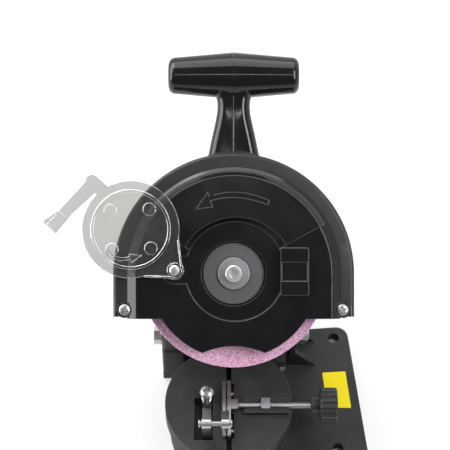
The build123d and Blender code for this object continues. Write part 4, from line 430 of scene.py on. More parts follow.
@dataclass(frozen=True)
class Moulding:
    """Plastic or paint.

    Attributes:
        name: Material name.
        colour: Base colour, linear.
        roughness: Roughness away from wear.
        grain: Width of the surface grain, in metres.
        depth: Strength of the grain, in metres.
        edge: Radius of the softened edges, in metres.
        edge_wear_and_highlight_colour: Colour on the edges, partly from wearing and partly a painted
            highlight.
        edge_wear_and_highlight_share: Share of that colour on the edges.
        dust: Amount of dust on faces turned up.
        speckle: How much the grain lightens the colour.
        specular: Specular level.
        gain: How strongly a shallow edge counts as an edge.
        patch: Width of the patches in its gloss, in metres.
        patch_rough: Least and most that a patch adds to the roughness.
        dust_rough: How much full dust adds to it.
    """

    name: str
    colour: Colour
    roughness: float
    grain: float = 0.0006
    depth: float = 0.00001
    edge: float = 0.0004
    edge_wear_and_highlight_colour: Colour = (0.12, 0.12, 0.125)
    edge_wear_and_highlight_share: float = 0.15
    dust: float = 0.05
    speckle: float = 0.1
    specular: float = 0.5
    gain: float = 6.0
    patch: float = 0.02
    patch_rough: Pair = (-0.03, 0.04)
    dust_rough: float = 0.5

    def material(self, effects: Effects) -> Material:
        """Builds the material: edges lightened by wearing and a painted highlight, dust and faint patches
        over the surface's grain.

        Args:
            effects: The shared node groups.

        Returns:
            The material.
        """
        coat = Coat(self.name, effects)
        edge = coat.use(Effect.EDGE, Radius=self.edge, Gain=self.gain)
        grain = coat.use(Effect.GRAIN, Size=self.grain)
        dust = coat.use(Effect.DUST, Amount=self.dust)["Mask"]
        colour, rough, depth = self.surface(coat, grain["Speckle"])
        # Edges lightened: partly wearing, partly a painted highlight along them.
        colour = coat.blend(coat.times(edge["Mask"], self.edge_wear_and_highlight_share), colour, self.edge_wear_and_highlight_colour)
        patches = coat.noise(coat.place(), 1.0 / self.patch, detail=3.0)
        patches = coat.spread(patches, low=0.3, high=0.7, to=self.patch_rough)
        rough = coat.plus(coat.plus(rough, patches), coat.times(dust, self.dust_rough), clamp=True)
        looks = {"Base Color": coat.blend(dust, colour, DUST_COLOUR), "Roughness": rough,
                 "Specular IOR Level": self.specular}
        return coat.done(looks, grain["Height"], depth, edge["Normal"])

    def speckled(self, coat: Coat, speckle: Socket, colour: Colour) -> Socket:
        """A colour that the grain lightens."""
        return coat.blend(coat.times(speckle, self.speckle), colour, tint(colour, gain=2.2, lift=0.01))

    def surface(self, coat: Coat, speckle: Socket) -> tuple[object, object, object]:
        """Colour, roughness and grain depth before wear and dust, each a socket or a plain value."""
        return self.speckled(coat, speckle, self.colour), self.roughness, self.depth


@dataclass(frozen=True)
class GuardMoulding(Moulding):
    """Plastic of the guard: satin on the round rim, glossy on the neck and the handle.

    Attributes:
        rim_colour: Colour of the satin rim.
        rim_roughness: Roughness of the satin rim.
        rim_depth: Grain strength on the rim, in metres.
        rim_radius: Outer radius of the rim, in metres.
        rim_fade: Width over which the rim goes over into the neck, in metres.
    """

    rim_colour: Colour = (0.011, 0.011, 0.0115)
    rim_roughness: float = 0.42
    rim_depth: float = 0.00009
    rim_radius: float = 0.0932
    rim_fade: float = 0.0008

    def surface(self, coat: Coat, speckle: Socket) -> tuple[Socket, Socket, Socket]:
        """Mixes the two surfaces by the distance from the wheel's axis.

        Args:
            coat: The material's graph.
            speckle: Mask of the grain.

        Returns:
            Colour, roughness and depth.
        """
        radius = coat.use(Effect.AXIS)["Radius"]
        outside = coat.spread(radius, low=self.rim_radius, high=self.rim_radius + self.rim_fade)
        colour = coat.blend(outside, self.speckled(coat, speckle, self.rim_colour), self.colour)
        rough = coat.spread(outside, 0.0, 1.0, (self.rim_roughness, self.roughness))
        depth = coat.spread(outside, 0.0, 1.0, (self.rim_depth, self.depth))
        return colour, rough, depth


@dataclass(frozen=True)
class Metal:
    """Bare or plated metal.

    Attributes:
        name: Material name.
        colour: Reflected colour, linear.
        roughness: Roughness of the clean surface.
        edge: Radius of the softened edges, in metres.
        stain: Share of a darker film in patches.
        scratch: Width of the scratch pattern, in metres.
        rings: Pitch of lathe marks round the wheel's axis in metres, or 0 for none.
        depth: Strength of the marks, scratches and grain, in metres.
        grain: Width of a matt grain in metres, or 0 for none.
        crevice_shade: How much narrow places are darkened, as painted shade.
        reach: How far a narrow place reaches for that painted shade, in metres.
        painted_edge_highlight: How much lighter the edges are painted than the faces, as a painted highlight.
        film: Width of the film's patches, in metres.
        film_tone: Tone of the film and of the rings' bands, against 1 for the clean metal.
        band_share: How much the bands of the rings show.
        grain_tone: Tone of the grain's speckles.
        grain_share: How much the speckles show.
        crevice_shade_tone: Tone of the painted shade in the narrowest places.
        scratch_rough: How much a scratch adds to the roughness.
        scratch_height: Height of a scratch against the depth.
    """

    name: str
    colour: Colour
    roughness: float
    edge: float = 0.0002
    stain: float = 0.25
    scratch: float = 0.006
    rings: float = 0.0
    depth: float = 0.00001
    grain: float = 0.0
    crevice_shade: float = 0.0
    reach: float = 0.0015
    painted_edge_highlight: float = 0.14
    film: float = 0.005
    film_tone: float = 0.55
    band_share: float = 0.35
    grain_tone: float = 1.6
    grain_share: float = 0.25
    crevice_shade_tone: float = 0.04
    scratch_rough: float = 0.15
    scratch_height: float = 0.3

    def material(self, effects: Effects) -> Material:
        """Builds the material: film, scratches, painted edge highlight, and rings, grain and painted shade
        where set.

        Args:
            effects: The shared node groups.

        Returns:
            The material.
        """
        coat = Coat(self.name, effects)
        edge = coat.use(Effect.EDGE, Radius=self.edge)
        scratch = coat.use(Effect.SCRATCH, Size=self.scratch)["Mask"]
        height = coat.times(scratch, self.scratch_height)
        film = coat.noise(coat.place(), 1.0 / self.film, detail=4.0, rough=0.6)
        film = coat.spread(film, low=0.35, high=0.75)
        dark = tint(self.colour, self.film_tone)
        colour = coat.blend(coat.times(film, self.stain), self.colour, dark)
        # Painted highlight: the edges are coloured lighter than the faces.
        colour = coat.blend(edge["Mask"], colour, tint(self.colour, 1.0 + self.painted_edge_highlight))
        if self.rings:
            rings = coat.use(Effect.RINGS, Pitch=self.rings)
            height = rings["Height"]
            colour = coat.blend(coat.times(rings["Band"], self.band_share), colour, dark)
        if self.grain:
            grain = coat.use(Effect.GRAIN, Size=self.grain)
            height = coat.plus(height, grain["Height"])
            share = coat.times(grain["Speckle"], self.grain_share)
            colour = coat.blend(share, colour, tint(self.colour, self.grain_tone))
        # Painted shade: narrow places darkened towards a near-black tone.
        if self.crevice_shade:
            share = coat.times(coat.use(Effect.CREVICE_SHADE, Reach=self.reach)["Mask"], self.crevice_shade)
            colour = coat.blend(share, colour, tint(self.colour, self.crevice_shade_tone))
        rough = coat.plus(self.roughness, coat.times(scratch, self.scratch_rough))
        looks = {"Base Color": colour, "Roughness": rough, "Metallic": 1.0}
        return coat.done(looks, height, self.depth, edge["Normal"])


@dataclass(frozen=True)
class ClearPlastic:
    """Clear moulded plastic.

    Attributes:
        name: Material name.
        colour: Tint of light that passes.
        roughness: Roughness of the surface.
        edge: Radius of the softened edges, in metres.
        gain: How strongly a shallow edge counts as an edge.
        ior: Index of refraction.
        rim: Colour of the light that the rounded edges throw back.
        mirror: Share of light that they throw back.
        haze: Share of light that the plastic scatters.
        scratch: Width of the scratch pattern, in metres.
        scratch_rough: How much a scratch adds to the roughness.
        wave: Width of the waves in its faces, in metres.
        depth: Strength of the waves, in metres.
    """

    name: str
    colour: Colour
    roughness: float
    edge: float
    gain: float = 9.0
    ior: float = 1.49
    rim: Colour = (0.93, 0.93, 0.95)
    mirror: float = 0.8
    haze: float = 0.05
    scratch: float = 0.01
    scratch_rough: float = 0.05
    wave: float = 0.012
    depth: float = 0.00006

    def material(self, effects: Effects) -> Material:
        """Builds the material: rounded edges throw light back, as light held inside the plastic does.

        Args:
            effects: The shared node groups.

        Returns:
            The material.
        """
        coat = Coat(self.name, effects)
        edge = coat.use(Effect.EDGE, Radius=self.edge, Gain=self.gain)
        scratch = coat.use(Effect.SCRATCH, Size=self.scratch)["Mask"]
        looks = {"Base Color": coat.blend(edge["Mask"], self.colour, self.rim),
                 "Metallic": coat.times(edge["Mask"], self.mirror),
                 "Roughness": coat.plus(self.roughness, coat.times(scratch, self.scratch_rough)),
                 "IOR": self.ior, "Transmission Weight": 1.0 - self.haze}
        waves = coat.noise(coat.place(), 1.0 / self.wave, detail=1.0)
        return coat.done(looks, waves, self.depth, edge["Normal"])


@dataclass(frozen=True)
class Abrasive:
    """Bonded abrasive: coloured grains in a pale bond.

    Attributes:
        name: Material name.
        grains: Colours of the grains, from rare to common.
        stops: Where each colour starts on the scale from 0 to 1.
        bond: Colour of the bond between them.
        bond_share: How much of it shows between two grains.
        cloud: Width of the patches where more of it shows, in metres.
        cloud_share: How much more shows there.
        size: Width of a grain, in metres.
        roughness: Roughness.
        depth: Height of the grains, in metres.
        hub_dark_radius: Radius inside which the wheel is coloured darker towards the hub, in metres.
        hub_dark_colour: Colour there.
        hub_dark_full: Share of that radius inside which that darker colour is full.
    """

    name: str
    grains: tuple[Colour, Colour, Colour, Colour]
    bond: Colour
    size: float
    roughness: float
    stops: tuple[float, float, float, float] = (0.0, 0.12, 0.3, 0.62)
    bond_share: float = 0.6
    cloud: float = 0.015
    cloud_share: float = 0.18
    depth: float = 0.00012
    hub_dark_radius: float = 0.045
    hub_dark_colour: Colour = (0.02, 0.016, 0.018)
    hub_dark_full: float = 0.9

    def material(self, effects: Effects) -> Material:
        """Builds the material: cells pick a grain colour, and the cell borders show the bond.

        Args:
            effects: The shared node groups.

        Returns:
            The material.
        """
        coat = Coat(self.name, effects)
        place = coat.place()
        cells = coat.node("ShaderNodeTexVoronoi", {"Vector": place, "Scale": 1.0 / self.size}).outputs
        pick = coat.node("ShaderNodeSeparateColor", {0: cells["Color"]}).outputs[0]
        ramp = coat.node("ShaderNodeValToRGB", {0: pick})
        ramp.color_ramp.interpolation = "CONSTANT"
        while len(ramp.color_ramp.elements) < len(self.stops):
            ramp.color_ramp.elements.new(0.5)
        for stop, at, colour in zip(ramp.color_ramp.elements, self.stops, self.grains):
            stop.position = at
            stop.color = (*colour, 1.0)
        border = coat.spread(cells["Distance"], low=0.45, high=0.75)
        colour = coat.blend(coat.times(border, self.bond_share), ramp.outputs[0], self.bond)
        cloud = coat.noise(place, 1.0 / self.cloud, detail=3.0)
        cloud = coat.spread(cloud, low=0.3, high=0.7, to=(0.0, self.cloud_share))
        colour = coat.blend(cloud, colour, self.bond)
        # Darker inside a radius round the axis, towards the hub.
        radius = coat.use(Effect.AXIS)["Radius"]
        inside = coat.spread(radius, low=self.hub_dark_radius, high=self.hub_dark_radius * self.hub_dark_full)
        looks = {"Base Color": coat.blend(inside, colour, self.hub_dark_colour), "Roughness": self.roughness}
        return coat.done(looks, coat.maths("SUBTRACT", 1.0, cells["Distance"]), self.depth)


class Finish(Enum):
    """Every finish of the object."""

    # The edge colours below stand partly for wearing and partly for a painted highlight.
    GUARD = GuardMoulding("guard_moulding", (0.006, 0.006, 0.0065), 0.10, depth=0.000002, edge_wear_and_highlight_share=0.02,
                          dust=0.01, edge=0.0002, gain=10.0)
    GLOSS = Moulding("gloss_moulding", (0.005, 0.005, 0.0062), 0.16, depth=0.000002, edge_wear_and_highlight_share=0.3,
                     edge_wear_and_highlight_colour=(0.34, 0.34, 0.36), dust=0.01, edge=0.0008, gain=18.0)
    # Painted highlight: the arrow's bead is the cover's black plastic, coloured lighter so its outline reads
    # as lit.
    LIT_BEAD = Moulding("bead_painted_highlight", (0.05, 0.05, 0.052), 0.18, depth=0.000001, edge=0.00005, dust=0.0,
                    speckle=0.0)
    CAST = Moulding("cast_paint", (0.014, 0.014, 0.0145), 0.55, grain=0.0009, depth=0.00012, speckle=0.5,
                    edge_wear_and_highlight_colour=(0.16, 0.16, 0.165), edge_wear_and_highlight_share=0.5, dust=0.06, edge=0.0007, gain=14.0, specular=0.35)
    GRIP = Moulding("grip_moulding", (0.018, 0.018, 0.019), 0.42, grain=0.0005, depth=0.00003, edge_wear_and_highlight_share=0.2,
                    dust=0.02)
    RUBBER = Moulding("rubber", (0.02, 0.02, 0.02), 0.75, grain=0.0004, depth=0.00003, edge_wear_and_highlight_share=0.1)
    ROCKER = Moulding("red_rocker", (0.42, 0.012, 0.012), 0.3, depth=0.000004, edge_wear_and_highlight_share=0.05,
                      edge_wear_and_highlight_colour=(0.6, 0.2, 0.2))
    PLATE = Moulding("yellow_plate", (0.90, 0.74, 0.004), 0.38, depth=0.000004, edge_wear_and_highlight_share=0.2,
                     edge_wear_and_highlight_colour=(0.9, 0.85, 0.6), speckle=0.0, dust=0.01, specular=0.2)
    CARBON = Moulding("carbon", (0.03, 0.03, 0.03), 0.6, grain=0.0003, depth=0.00003)
    CLEAR = ClearPlastic("clear_plastic", (0.51, 0.503, 0.489), 0.04, edge=0.0006)
    CLEAR_BEAD = ClearPlastic("clear_bead", (0.8, 0.8, 0.8), 0.1, edge=0.0003, gain=60.0)
    ABRASIVE = Abrasive(
        "abrasive", ((0.96, 0.86, 0.94), (0.32, 0.10, 0.22), (0.86, 0.47, 0.69), (0.72, 0.32, 0.54)),
        bond=(0.86, 0.55, 0.75), size=0.00062, roughness=0.9)
    # The metals below get painted shade in narrow places and a painted highlight on edges.
    FLANGE = Metal("turned_flange", (0.165, 0.165, 0.175), 0.5, rings=0.0004, depth=0.000006, stain=0.15,
                   grain=0.0004, crevice_shade=0.9, reach=0.003)
    TURNED = Metal("turned_zinc", (0.92, 0.92, 0.95), 0.3, rings=0.0022, depth=0.00008, stain=0.05,
                   edge=0.0005, crevice_shade=0.6, reach=0.0008)
    SATIN = Metal("satin_zinc", (0.44, 0.44, 0.46), 0.36, depth=0.000001, edge=0.0006, grain=0.0005,
                  stain=0.1, crevice_shade=0.9, reach=0.0014, painted_edge_highlight=1.2)
    ZINC = Metal("bright_zinc", (0.60, 0.60, 0.62), 0.36, depth=0.000001, edge=0.0004, crevice_shade=0.8,
                 reach=0.0008)
    STEEL = Metal("ground_steel", (0.50, 0.49, 0.50), 0.32, depth=0.000004, stain=0.2)
    WIRE = Metal("spring_wire", (0.6, 0.6, 0.61), 0.22, depth=0.000002, stain=0.3)
    LAMINATION = Metal("lamination", (0.2, 0.2, 0.21), 0.5)
    COPPER = Metal("enamelled_copper", (0.6, 0.24, 0.12), 0.3)
    BRASS = Metal("brass", (0.72, 0.52, 0.22), 0.3)


# --- Frame of the head and makers of meshes ---
@dataclass(frozen=True)
class Head:
    """Frame of the tilting head.

    Attributes:
        elevation: Angle of the wheel's axis above the horizontal, in degrees.
        axle_height: Height of the hinge axle, in metres.
        rise: From the axle to the wheel's centre, along the guard.
        reach: From the axle to the wheel's centre, along the wheel's axis.
        above_mm: Height over the wheel's centre from which surfaces are looked for.
    """

    elevation: float = 57.5
    axle_height: float = 0.038
    rise: float = 0.052
    reach: float = 0.070
    above_mm: float = 60.0

    @property
    def out(self) -> Vector:
        """Unit vector out of the guard's face."""
        return Vector((0.0, -cos(radians(self.elevation)), sin(radians(self.elevation))))

    @property
    def up(self) -> Vector:
        """Unit vector up the guard, towards the handle."""
        return Vector((0.0, sin(radians(self.elevation)), cos(radians(self.elevation))))

    @property
    def centre(self) -> Vector:
        """Centre of the wheel."""
        return Vector((0.0, 0.0, self.axle_height)) + self.rise * self.up + self.reach * self.out

    def world(self, points_mm: Points) -> Points:
        """Takes points from the head's frame to the row frame: centre + x·X + y·up + z·out.

        Args:
            points_mm: Array of points, in millimetres of the head's frame.

        Returns:
            The same points in metres of the row frame.
        """
        axes = np.array([tuple(X_AXIS), tuple(self.up), tuple(self.out)])
        return np.array(self.centre) + (np.asarray(points_mm) * MM) @ axes

    def height_on(self, node: str, place_mm: Pair) -> float:
        """Finds how far out a node's surface lies at a place on the guard's face.

        Args:
            node: The CAD node.
            place_mm: Place across and up the guard.

        Returns:
            The surface's z in the head's frame, in millimetres.
        """
        mesh = frame["nodes"][node].data
        tree = BVHTree.FromPolygons([v.co for v in mesh.vertices], [tuple(p.vertices) for p in mesh.polygons])
        start = Vector(self.world(np.array([*place_mm, self.above_mm])))
        hit = tree.ray_cast(start, -self.out)[0]
        return (hit - self.centre).dot(self.out) / MM


def add_object(name: str, data: bpy.types.ID) -> Object:
    """Puts an object into the scene.

    Args:
        name: Its name.
        data: Its mesh, lamp or camera.

    Returns:
        The object.
    """
    made = bpy.data.objects.new(name, data)
    bpy.context.scene.collection.objects.link(made)
    return made


def facing(place: Vector, across: Vector, away: Vector) -> Matrix:
    """Matrix of a lamp or a camera that looks against away and has its own x along across."""
    axes = Matrix((across, away.cross(across), away)).transposed().to_4x4()
    return Matrix.Translation(place) @ axes


def tidy(mesh: bpy.types.Mesh, angle: float = COPY_ANGLE, turn: bool = False) -> None:
    """Merges doubled points and shades smooth up to an angle.

    Args:
        mesh: The mesh.
        angle: Edges sharper than this stay sharp, in degrees.
        turn: Recalculates the normals outwards.
    """
    if "custom_normal" in mesh.attributes:
        mesh.attributes.remove(mesh.attributes["custom_normal"])
    work = bmesh.new()
    work.from_mesh(mesh)
    bmesh.ops.remove_doubles(work, verts=work.verts, dist=MERGE_REACH)
    bmesh.ops.dissolve_degenerate(work, edges=work.edges, dist=SLIVER)
    if turn:
        bmesh.ops.recalc_face_normals(work, faces=work.faces)
    work.to_mesh(mesh)
    work.free()
    mesh.polygons.foreach_set("use_smooth", np.ones(len(mesh.polygons), bool))
    mesh.set_sharp_from_angle(angle=radians(angle))


def mesh_object(name: str, grid: Points, tube: bool = True, looped: bool = False) -> Object:
    """Makes a piece from a grid of points, each joined to the next in both directions.

    A tube that isn't looped is closed by one face on each end.

    Args:
        name: Name of the piece.
        grid: Rows × columns × 3 array of points in metres.
        tube: Joins the last column to the first.
        looped: Joins the last row to the first.

    Returns:
        The object, with outward faces and smooth shading.
    """
    rows, columns = grid.shape[:2]
    i = np.arange(rows if looped else rows - 1)[:, None] * columns
    j = np.arange(columns if tube else columns - 1)[None, :]
    i2 = (i + columns) % (rows * columns)
    j2 = (j + 1) % columns
    faces = np.stack([i + j, i + j2, i2 + j2, i2 + j], axis=-1).reshape(-1, 4).tolist()
    if tube and not looped:
        ring = np.arange(columns)
        faces += [ring[::-1].tolist(), (ring + (rows - 1) * columns).tolist()]
    mesh = bpy.data.meshes.new(name)
    mesh.from_pydata(grid.reshape(-1, 3).tolist(), [], faces)
    tidy(mesh, MADE_ANGLE, turn=True)
    return add_object(name, mesh)


def unit(vectors: Points) -> Points:
    """Each row of an array at length 1."""
    return vectors / np.linalg.norm(vectors, axis=1)[:, None]


def oval(width: float, height: float, turn: Points) -> Points:
    """Points (width·cos t, height·sin t) at the angles t, in radians."""
    return np.stack([width * np.cos(turn), height * np.sin(turn)], axis=-1)


def along(path: Points, section: Points, side: Points, lift: Points) -> Points:
    """Carries a section along a path: point = path + section_x·side + section_y·lift.

    Args:
        path: Points of the path, N × 3.
        section: Points of the section, M × 2.
        side: Unit vectors for the section's first axis, N × 3.
        lift: Unit vectors for the section's second axis, N × 3.

    Returns:
        Array N × M × 3.
    """
    first, second = section[None, :, :1], section[None, :, 1:]
    return path[:, None, :] + first * side[:, None, :] + second * lift[:, None, :]


def arc_through(first: Pair, middle: Pair, last: Pair, count: int) -> Points:
    """Parabola-like arc through three points: a quadratic in t that passes each at t = 0, 0.5 and 1.

    Args:
        first: Start.
        middle: Point at the middle.
        last: End.
        count: Number of points.

    Returns:
        Array count × 2.
    """
    t = np.linspace(0.0, 1.0, count)[:, None]
    a, b, c = (np.asarray(p, float) for p in (first, middle, last))
    return a * (1 - t) * (1 - 2 * t) + 4 * b * t * (1 - t) + c * t * (2 * t - 1)


def closed_bead(name: str, line_mm: Points, size_mm: Pair, head: Head, z_mm: float) -> Object:
    """Raised bead on a flat face: a half-round section carried round a closed line drawn on that face.

    Each point is line + w·cos(t)·across + h·sin(t)·out, for t from -20° to 200°. At a corner, across runs
    midway between the two sides, longer by one over the cosine of half the turn, up to a limit.

    Args:
        name: Name of the piece.
        line_mm: Points of the line in the head's x and y.
        size_mm: Half width and height of the bead.
        head: Frame of the head.
        z_mm: Height of the face.

    Returns:
        The object.
    """
    course = unit(np.roll(line_mm, -1, axis=0) - line_mm) + unit(line_mm - np.roll(line_mm, 1, axis=0))
    length = np.linalg.norm(course, axis=1)[:, None]
    shortest = 0.9
    stretch = 2.0 / np.maximum(length, shortest)
    course /= length
    side = np.column_stack([-course[:, 1], course[:, 0], np.zeros(len(course))]) * stretch
    lift = np.tile(tuple(Z_AXIS), (len(course), 1))
    path = np.column_stack([line_mm, np.full(len(line_mm), z_mm)])
    section = oval(*size_mm, np.radians(np.linspace(-20.0, 200.0, 9)))
    return mesh_object(name, head.world(along(path, section, side, lift)), looped=True)


def wire(name: str, path_mm: Points, axis: Vector, radius_mm: float, count: int = 10) -> Object:
    """Round wire: a circle carried along a path, square to it.

    Args:
        name: Name of the piece.
        path_mm: Points of the path.
        axis: Direction that is never along the path.
        radius_mm: Radius of the wire.
        count: Points round the wire.

    Returns:
        The object.
    """
    path = path_mm * MM
    course = unit(np.gradient(path, axis=0))
    side = unit(np.cross(course, np.array(axis)))
    section = oval(radius_mm * MM, radius_mm * MM, np.linspace(0.0, 2.0 * pi, count, endpoint=False))
    return mesh_object(name, along(path, section, side, np.cross(course, side)))


def threaded_rod(name: str, start: Vector, axis: Vector, length: float, thread_mm: tuple[float, float, float],
                 columns: int = 24, rows_per_turn: int = 6) -> Object:
    """Screw thread: radius = R − d·(0.5 + 0.5·cos 2π(s/p − t/2π)) at distance s along and angle t round.

    Over the first and the last pitch the thread fades to a plain pin of radius R − 0.8·d.

    Args:
        name: Name of the piece.
        start: Middle of the first end.
        axis: Unit vector along the rod.
        length: Length in metres.
        thread_mm: Outer radius R, pitch p and depth d.
        columns: Points round the rod.
        rows_per_turn: Points along one pitch.

    Returns:
        The object.
    """
    radius, pitch, depth = (size * MM for size in thread_mm)
    rows = int(length / pitch * rows_per_turn) + 2
    s = np.linspace(0.0, length, rows)[:, None]
    t = np.linspace(0.0, 2.0 * pi, columns, endpoint=False)[None, :]
    fade = np.clip(np.minimum(s, length - s) / pitch, 0.0, 1.0)
    r = radius - depth * (0.5 + 0.5 * np.cos(2.0 * pi * s / pitch - t)) * fade - depth * 0.8 * (1.0 - fade)
    side = axis.orthogonal().normalized()
    lift = axis.cross(side)
    grid = (np.array(start) + s[..., None] * np.array(axis)
            + (r * np.cos(t))[..., None] * np.array(side) + (r * np.sin(t))[..., None] * np.array(lift))
    return mesh_object(name, grid)


# --- Workshop: finds bodies, dresses pieces ---
class Workshop:
    """Makes, dresses and mounts pieces."""

    def __init__(self, head: Head) -> None:
        """Prepares the shared effects and looks up each node's body and slot.

        Args:
            head: Frame of the tilting head.
        """
        self.head = head
        self.effects = Effects(head)
        self.materials: dict[Finish, Material] = {}
        record = frame["record"]
        self.body_of = {node: body for body, nodes in record["behaviour"]["bodies"].items() for node in nodes}
        self.slot_of = {part["node"]: part["material_slot"] for part in record["subparts"]}

    def material(self, finish: Finish) -> Material:
        """Gives a finish's material, built the first time.

        Args:
            finish: Which finish.

        Returns:
            The material.
        """
        if finish not in self.materials:
            self.materials[finish] = finish.value.material(self.effects)
        return self.materials[finish]

    def polish(self, node: str, finish: Finish) -> None:
        """Copies a CAD node, merges its triangles, shades it smooth and lets the copy stand for it.

        Args:
            node: The CAD node.
            finish: Its finish.
        """
        mesh = frame["nodes"][node].data.copy()
        mesh.name = f"{node}_skin"
        tidy(mesh)
        made = add_object(f"{node}_skin", mesh)
        self.mount(made, finish, self.body_of[node], self.slot_of[node])
        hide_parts(node)

    def mount(self, piece: Object, finish: Finish, body: str, slot: str) -> None:
        """Gives a piece its material and body.

        Args:
            piece: The piece.
            finish: Its finish.
            body: The CAD body it rides on.
            slot: The record's material slot; not used.
        """
        piece.data.materials.clear()
        piece.data.materials.append(self.material(finish))
        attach(piece, body)
        log.info("%s on %s, %d faces", piece.name, body, len(piece.data.polygons))


@dataclass
class SubAssembly:
    """Nodes that are dressed together.

    Attributes:
        shop: Where pieces are made.
        finishes: Each finish with the CAD nodes that are polished as they are.
    """

    shop: Workshop
    finishes: tuple[tuple, ...] = ()

    def dress(self) -> None:
        """Polishes every CAD node of this sub-assembly."""
        for finish, *nodes in self.finishes:
            for node in nodes:
                self.shop.polish(node, finish)

    def build(self) -> None:
        """Makes the pieces that the CAD nodes don't have."""


# --- Sub-assemblies ---
@dataclass(frozen=True)
class Coil:
    """Helix of a spring of round wire.

    Attributes:
        radius_mm: Mean radius.
        wire_mm: Radius of the wire.
        turns: Number of turns.
        steps: Points along one turn.
    """

    radius_mm: float
    wire_mm: float
    turns: int
    steps: int

    def helix(self) -> tuple[Points, Points]:
        """Goes round evenly: the place at t is (r·cos 2πnt, r·sin 2πnt) for n turns.

        Returns:
            Array of t from 0 to 1, and array of places.
        """
        t = np.linspace(0.0, 1.0, self.turns * self.steps + 1)
        return t, oval(self.radius_mm, self.radius_mm, 2.0 * pi * self.turns * t)


@dataclass
class Base(SubAssembly):
    """Ribbed base with its hinge.

    Attributes:
        plate_corners_mm: Corners of the bare yellow plate on the bench plate.
        plate_round_mm: How far its corners are rounded along each side.
        plate_steps: Points along a corner.
        plate_z_mm: Heights of its lower and upper face.
        stop_mm: Place of the depth stop screw.
        stop_z_mm: Heights between which it is threaded.
        stop_thread_mm: Radius, pitch and depth of its thread.
        spring: Coil of the return spring.
        spring_x_mm: Where the coil starts and ends.
        foot_z_mm: Height where the lower leg starts, and how far from the axle's height it ends.
        leg_z_mm: Where the upper leg starts and ends, above the axle.
        leg_steps: Points along a leg.
    """

    finishes: tuple[tuple, ...] = (
        (Finish.CAST, "base_casting"),
        (Finish.ZINC, "hinge_bolt", "hinge_washers", "hinge_nut", "depth_stop_nut"))
    plate_corners_mm: tuple[Pair, ...] = ((72.8, -19.8), (91.8, -18.5), (95.3, -51.7), (75.8, -51.8))
    plate_round_mm: float = 0.8
    plate_steps: int = 6
    plate_z_mm: Pair = (10.02, 10.2)
    stop_mm: Pair = (38.5, -16.0)
    stop_z_mm: Pair = (4.0, 20.0)
    stop_thread_mm: tuple[float, float, float] = (2.0, 0.7, 0.3)
    spring: Coil = Coil(radius_mm=7.4, wire_mm=1.0, turns=4, steps=28)
    spring_x_mm: Pair = (-35.5, -24.5)
    foot_z_mm: Pair = (18.0, -2.0)
    leg_z_mm: Pair = (2.0, 18.0)
    leg_steps: int = 6

    def build(self) -> None:
        """Makes the yellow plate, the depth stop's thread and the return spring."""
        self.yellow_plate()
        self.stop_thread()
        self.return_spring()

    def yellow_plate(self) -> None:
        """Bare thin plate: an outline with quadratic curves for corners, at two heights, closed at both."""
        corners = np.array(self.plate_corners_mm)
        before = unit(np.roll(corners, 1, axis=0) - corners)
        after = unit(np.roll(corners, -1, axis=0) - corners)
        t = np.linspace(0.0, 1.0, self.plate_steps)[None, :, None]
        start = (corners + before * self.plate_round_mm)[:, None, :]
        end = (corners + after * self.plate_round_mm)[:, None, :]
        ring = ((1 - t) ** 2 * start + 2 * t * (1 - t) * corners[:, None, :] + t ** 2 * end).reshape(-1, 2)
        grid = np.stack([np.column_stack([ring, np.full(len(ring), z)]) for z in self.plate_z_mm]) * MM
        self.shop.mount(mesh_object("yellow_plate", grid), Finish.PLATE, "base", "black_paint")

    def stop_thread(self) -> None:
        """Threaded depth stop screw."""
        low, high = self.stop_z_mm
        start = Vector((*self.stop_mm, low)) * MM
        stop = threaded_rod("depth_stop_thread", start, Z_AXIS, (high - low) * MM, self.stop_thread_mm)
        self.shop.mount(stop, Finish.ZINC, "depth_stop", "zinc")
        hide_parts("depth_stop_screw")

    def return_spring(self) -> None:
        """Round-wire torsion spring: a helix round the axle between two straight legs."""
        t, ring = self.spring.helix()
        x0, x1 = self.spring_x_mm
        axle = self.shop.head.axle_height / MM
        x = np.pad(x0 + (x1 - x0) * t, self.leg_steps, mode="edge")
        y = np.pad(ring[:, 0], self.leg_steps, mode="edge")
        foot = np.linspace(self.foot_z_mm[0], axle + self.foot_z_mm[1], self.leg_steps)
        leg = axle + np.linspace(*self.leg_z_mm, self.leg_steps)
        z = np.concatenate([foot, axle + ring[:, 1], leg])
        spring = wire("return_spring_wire", np.column_stack([x, y, z]), X_AXIS, self.spring.wire_mm)
        self.shop.mount(spring, Finish.WIRE, "base", "spring_steel")
        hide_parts("return_spring")


@dataclass
class Vise(SubAssembly):
    """Swivel table with its jaws, clamp screw and lock knob.

    Attributes:
        rod_mm: Place of the clamp screw along y, and its height.
        rod_thread_mm: Radius, pitch and depth of its thread.
    """

    finishes: tuple[tuple, ...] = (
        (Finish.CAST, "turntable"),
        (Finish.ZINC, "table_stud", "lock_washer", "rail_screws", "clamp_nut"),
        (Finish.STEEL, "fixed_rail", "moving_rail", "rail_guide_pins"),
        (Finish.GRIP, "clamp_knob", "lock_knob"),
        (Finish.BRASS, "lock_insert"))
    rod_mm: Pair = (-70.6, 52.0)
    rod_thread_mm: tuple[float, float, float] = (2.5, 0.8, 0.42)

    def build(self) -> None:
        """Makes the threaded clamp screw."""
        low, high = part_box("clamp_screw")
        y, z = self.rod_mm
        rod = threaded_rod("clamp_thread", Vector((low.x, y * MM, z * MM)), X_AXIS, high.x - low.x,
                           self.rod_thread_mm)
        self.shop.mount(rod, Finish.ZINC, "clamp", "zinc")
        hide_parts("clamp_screw")


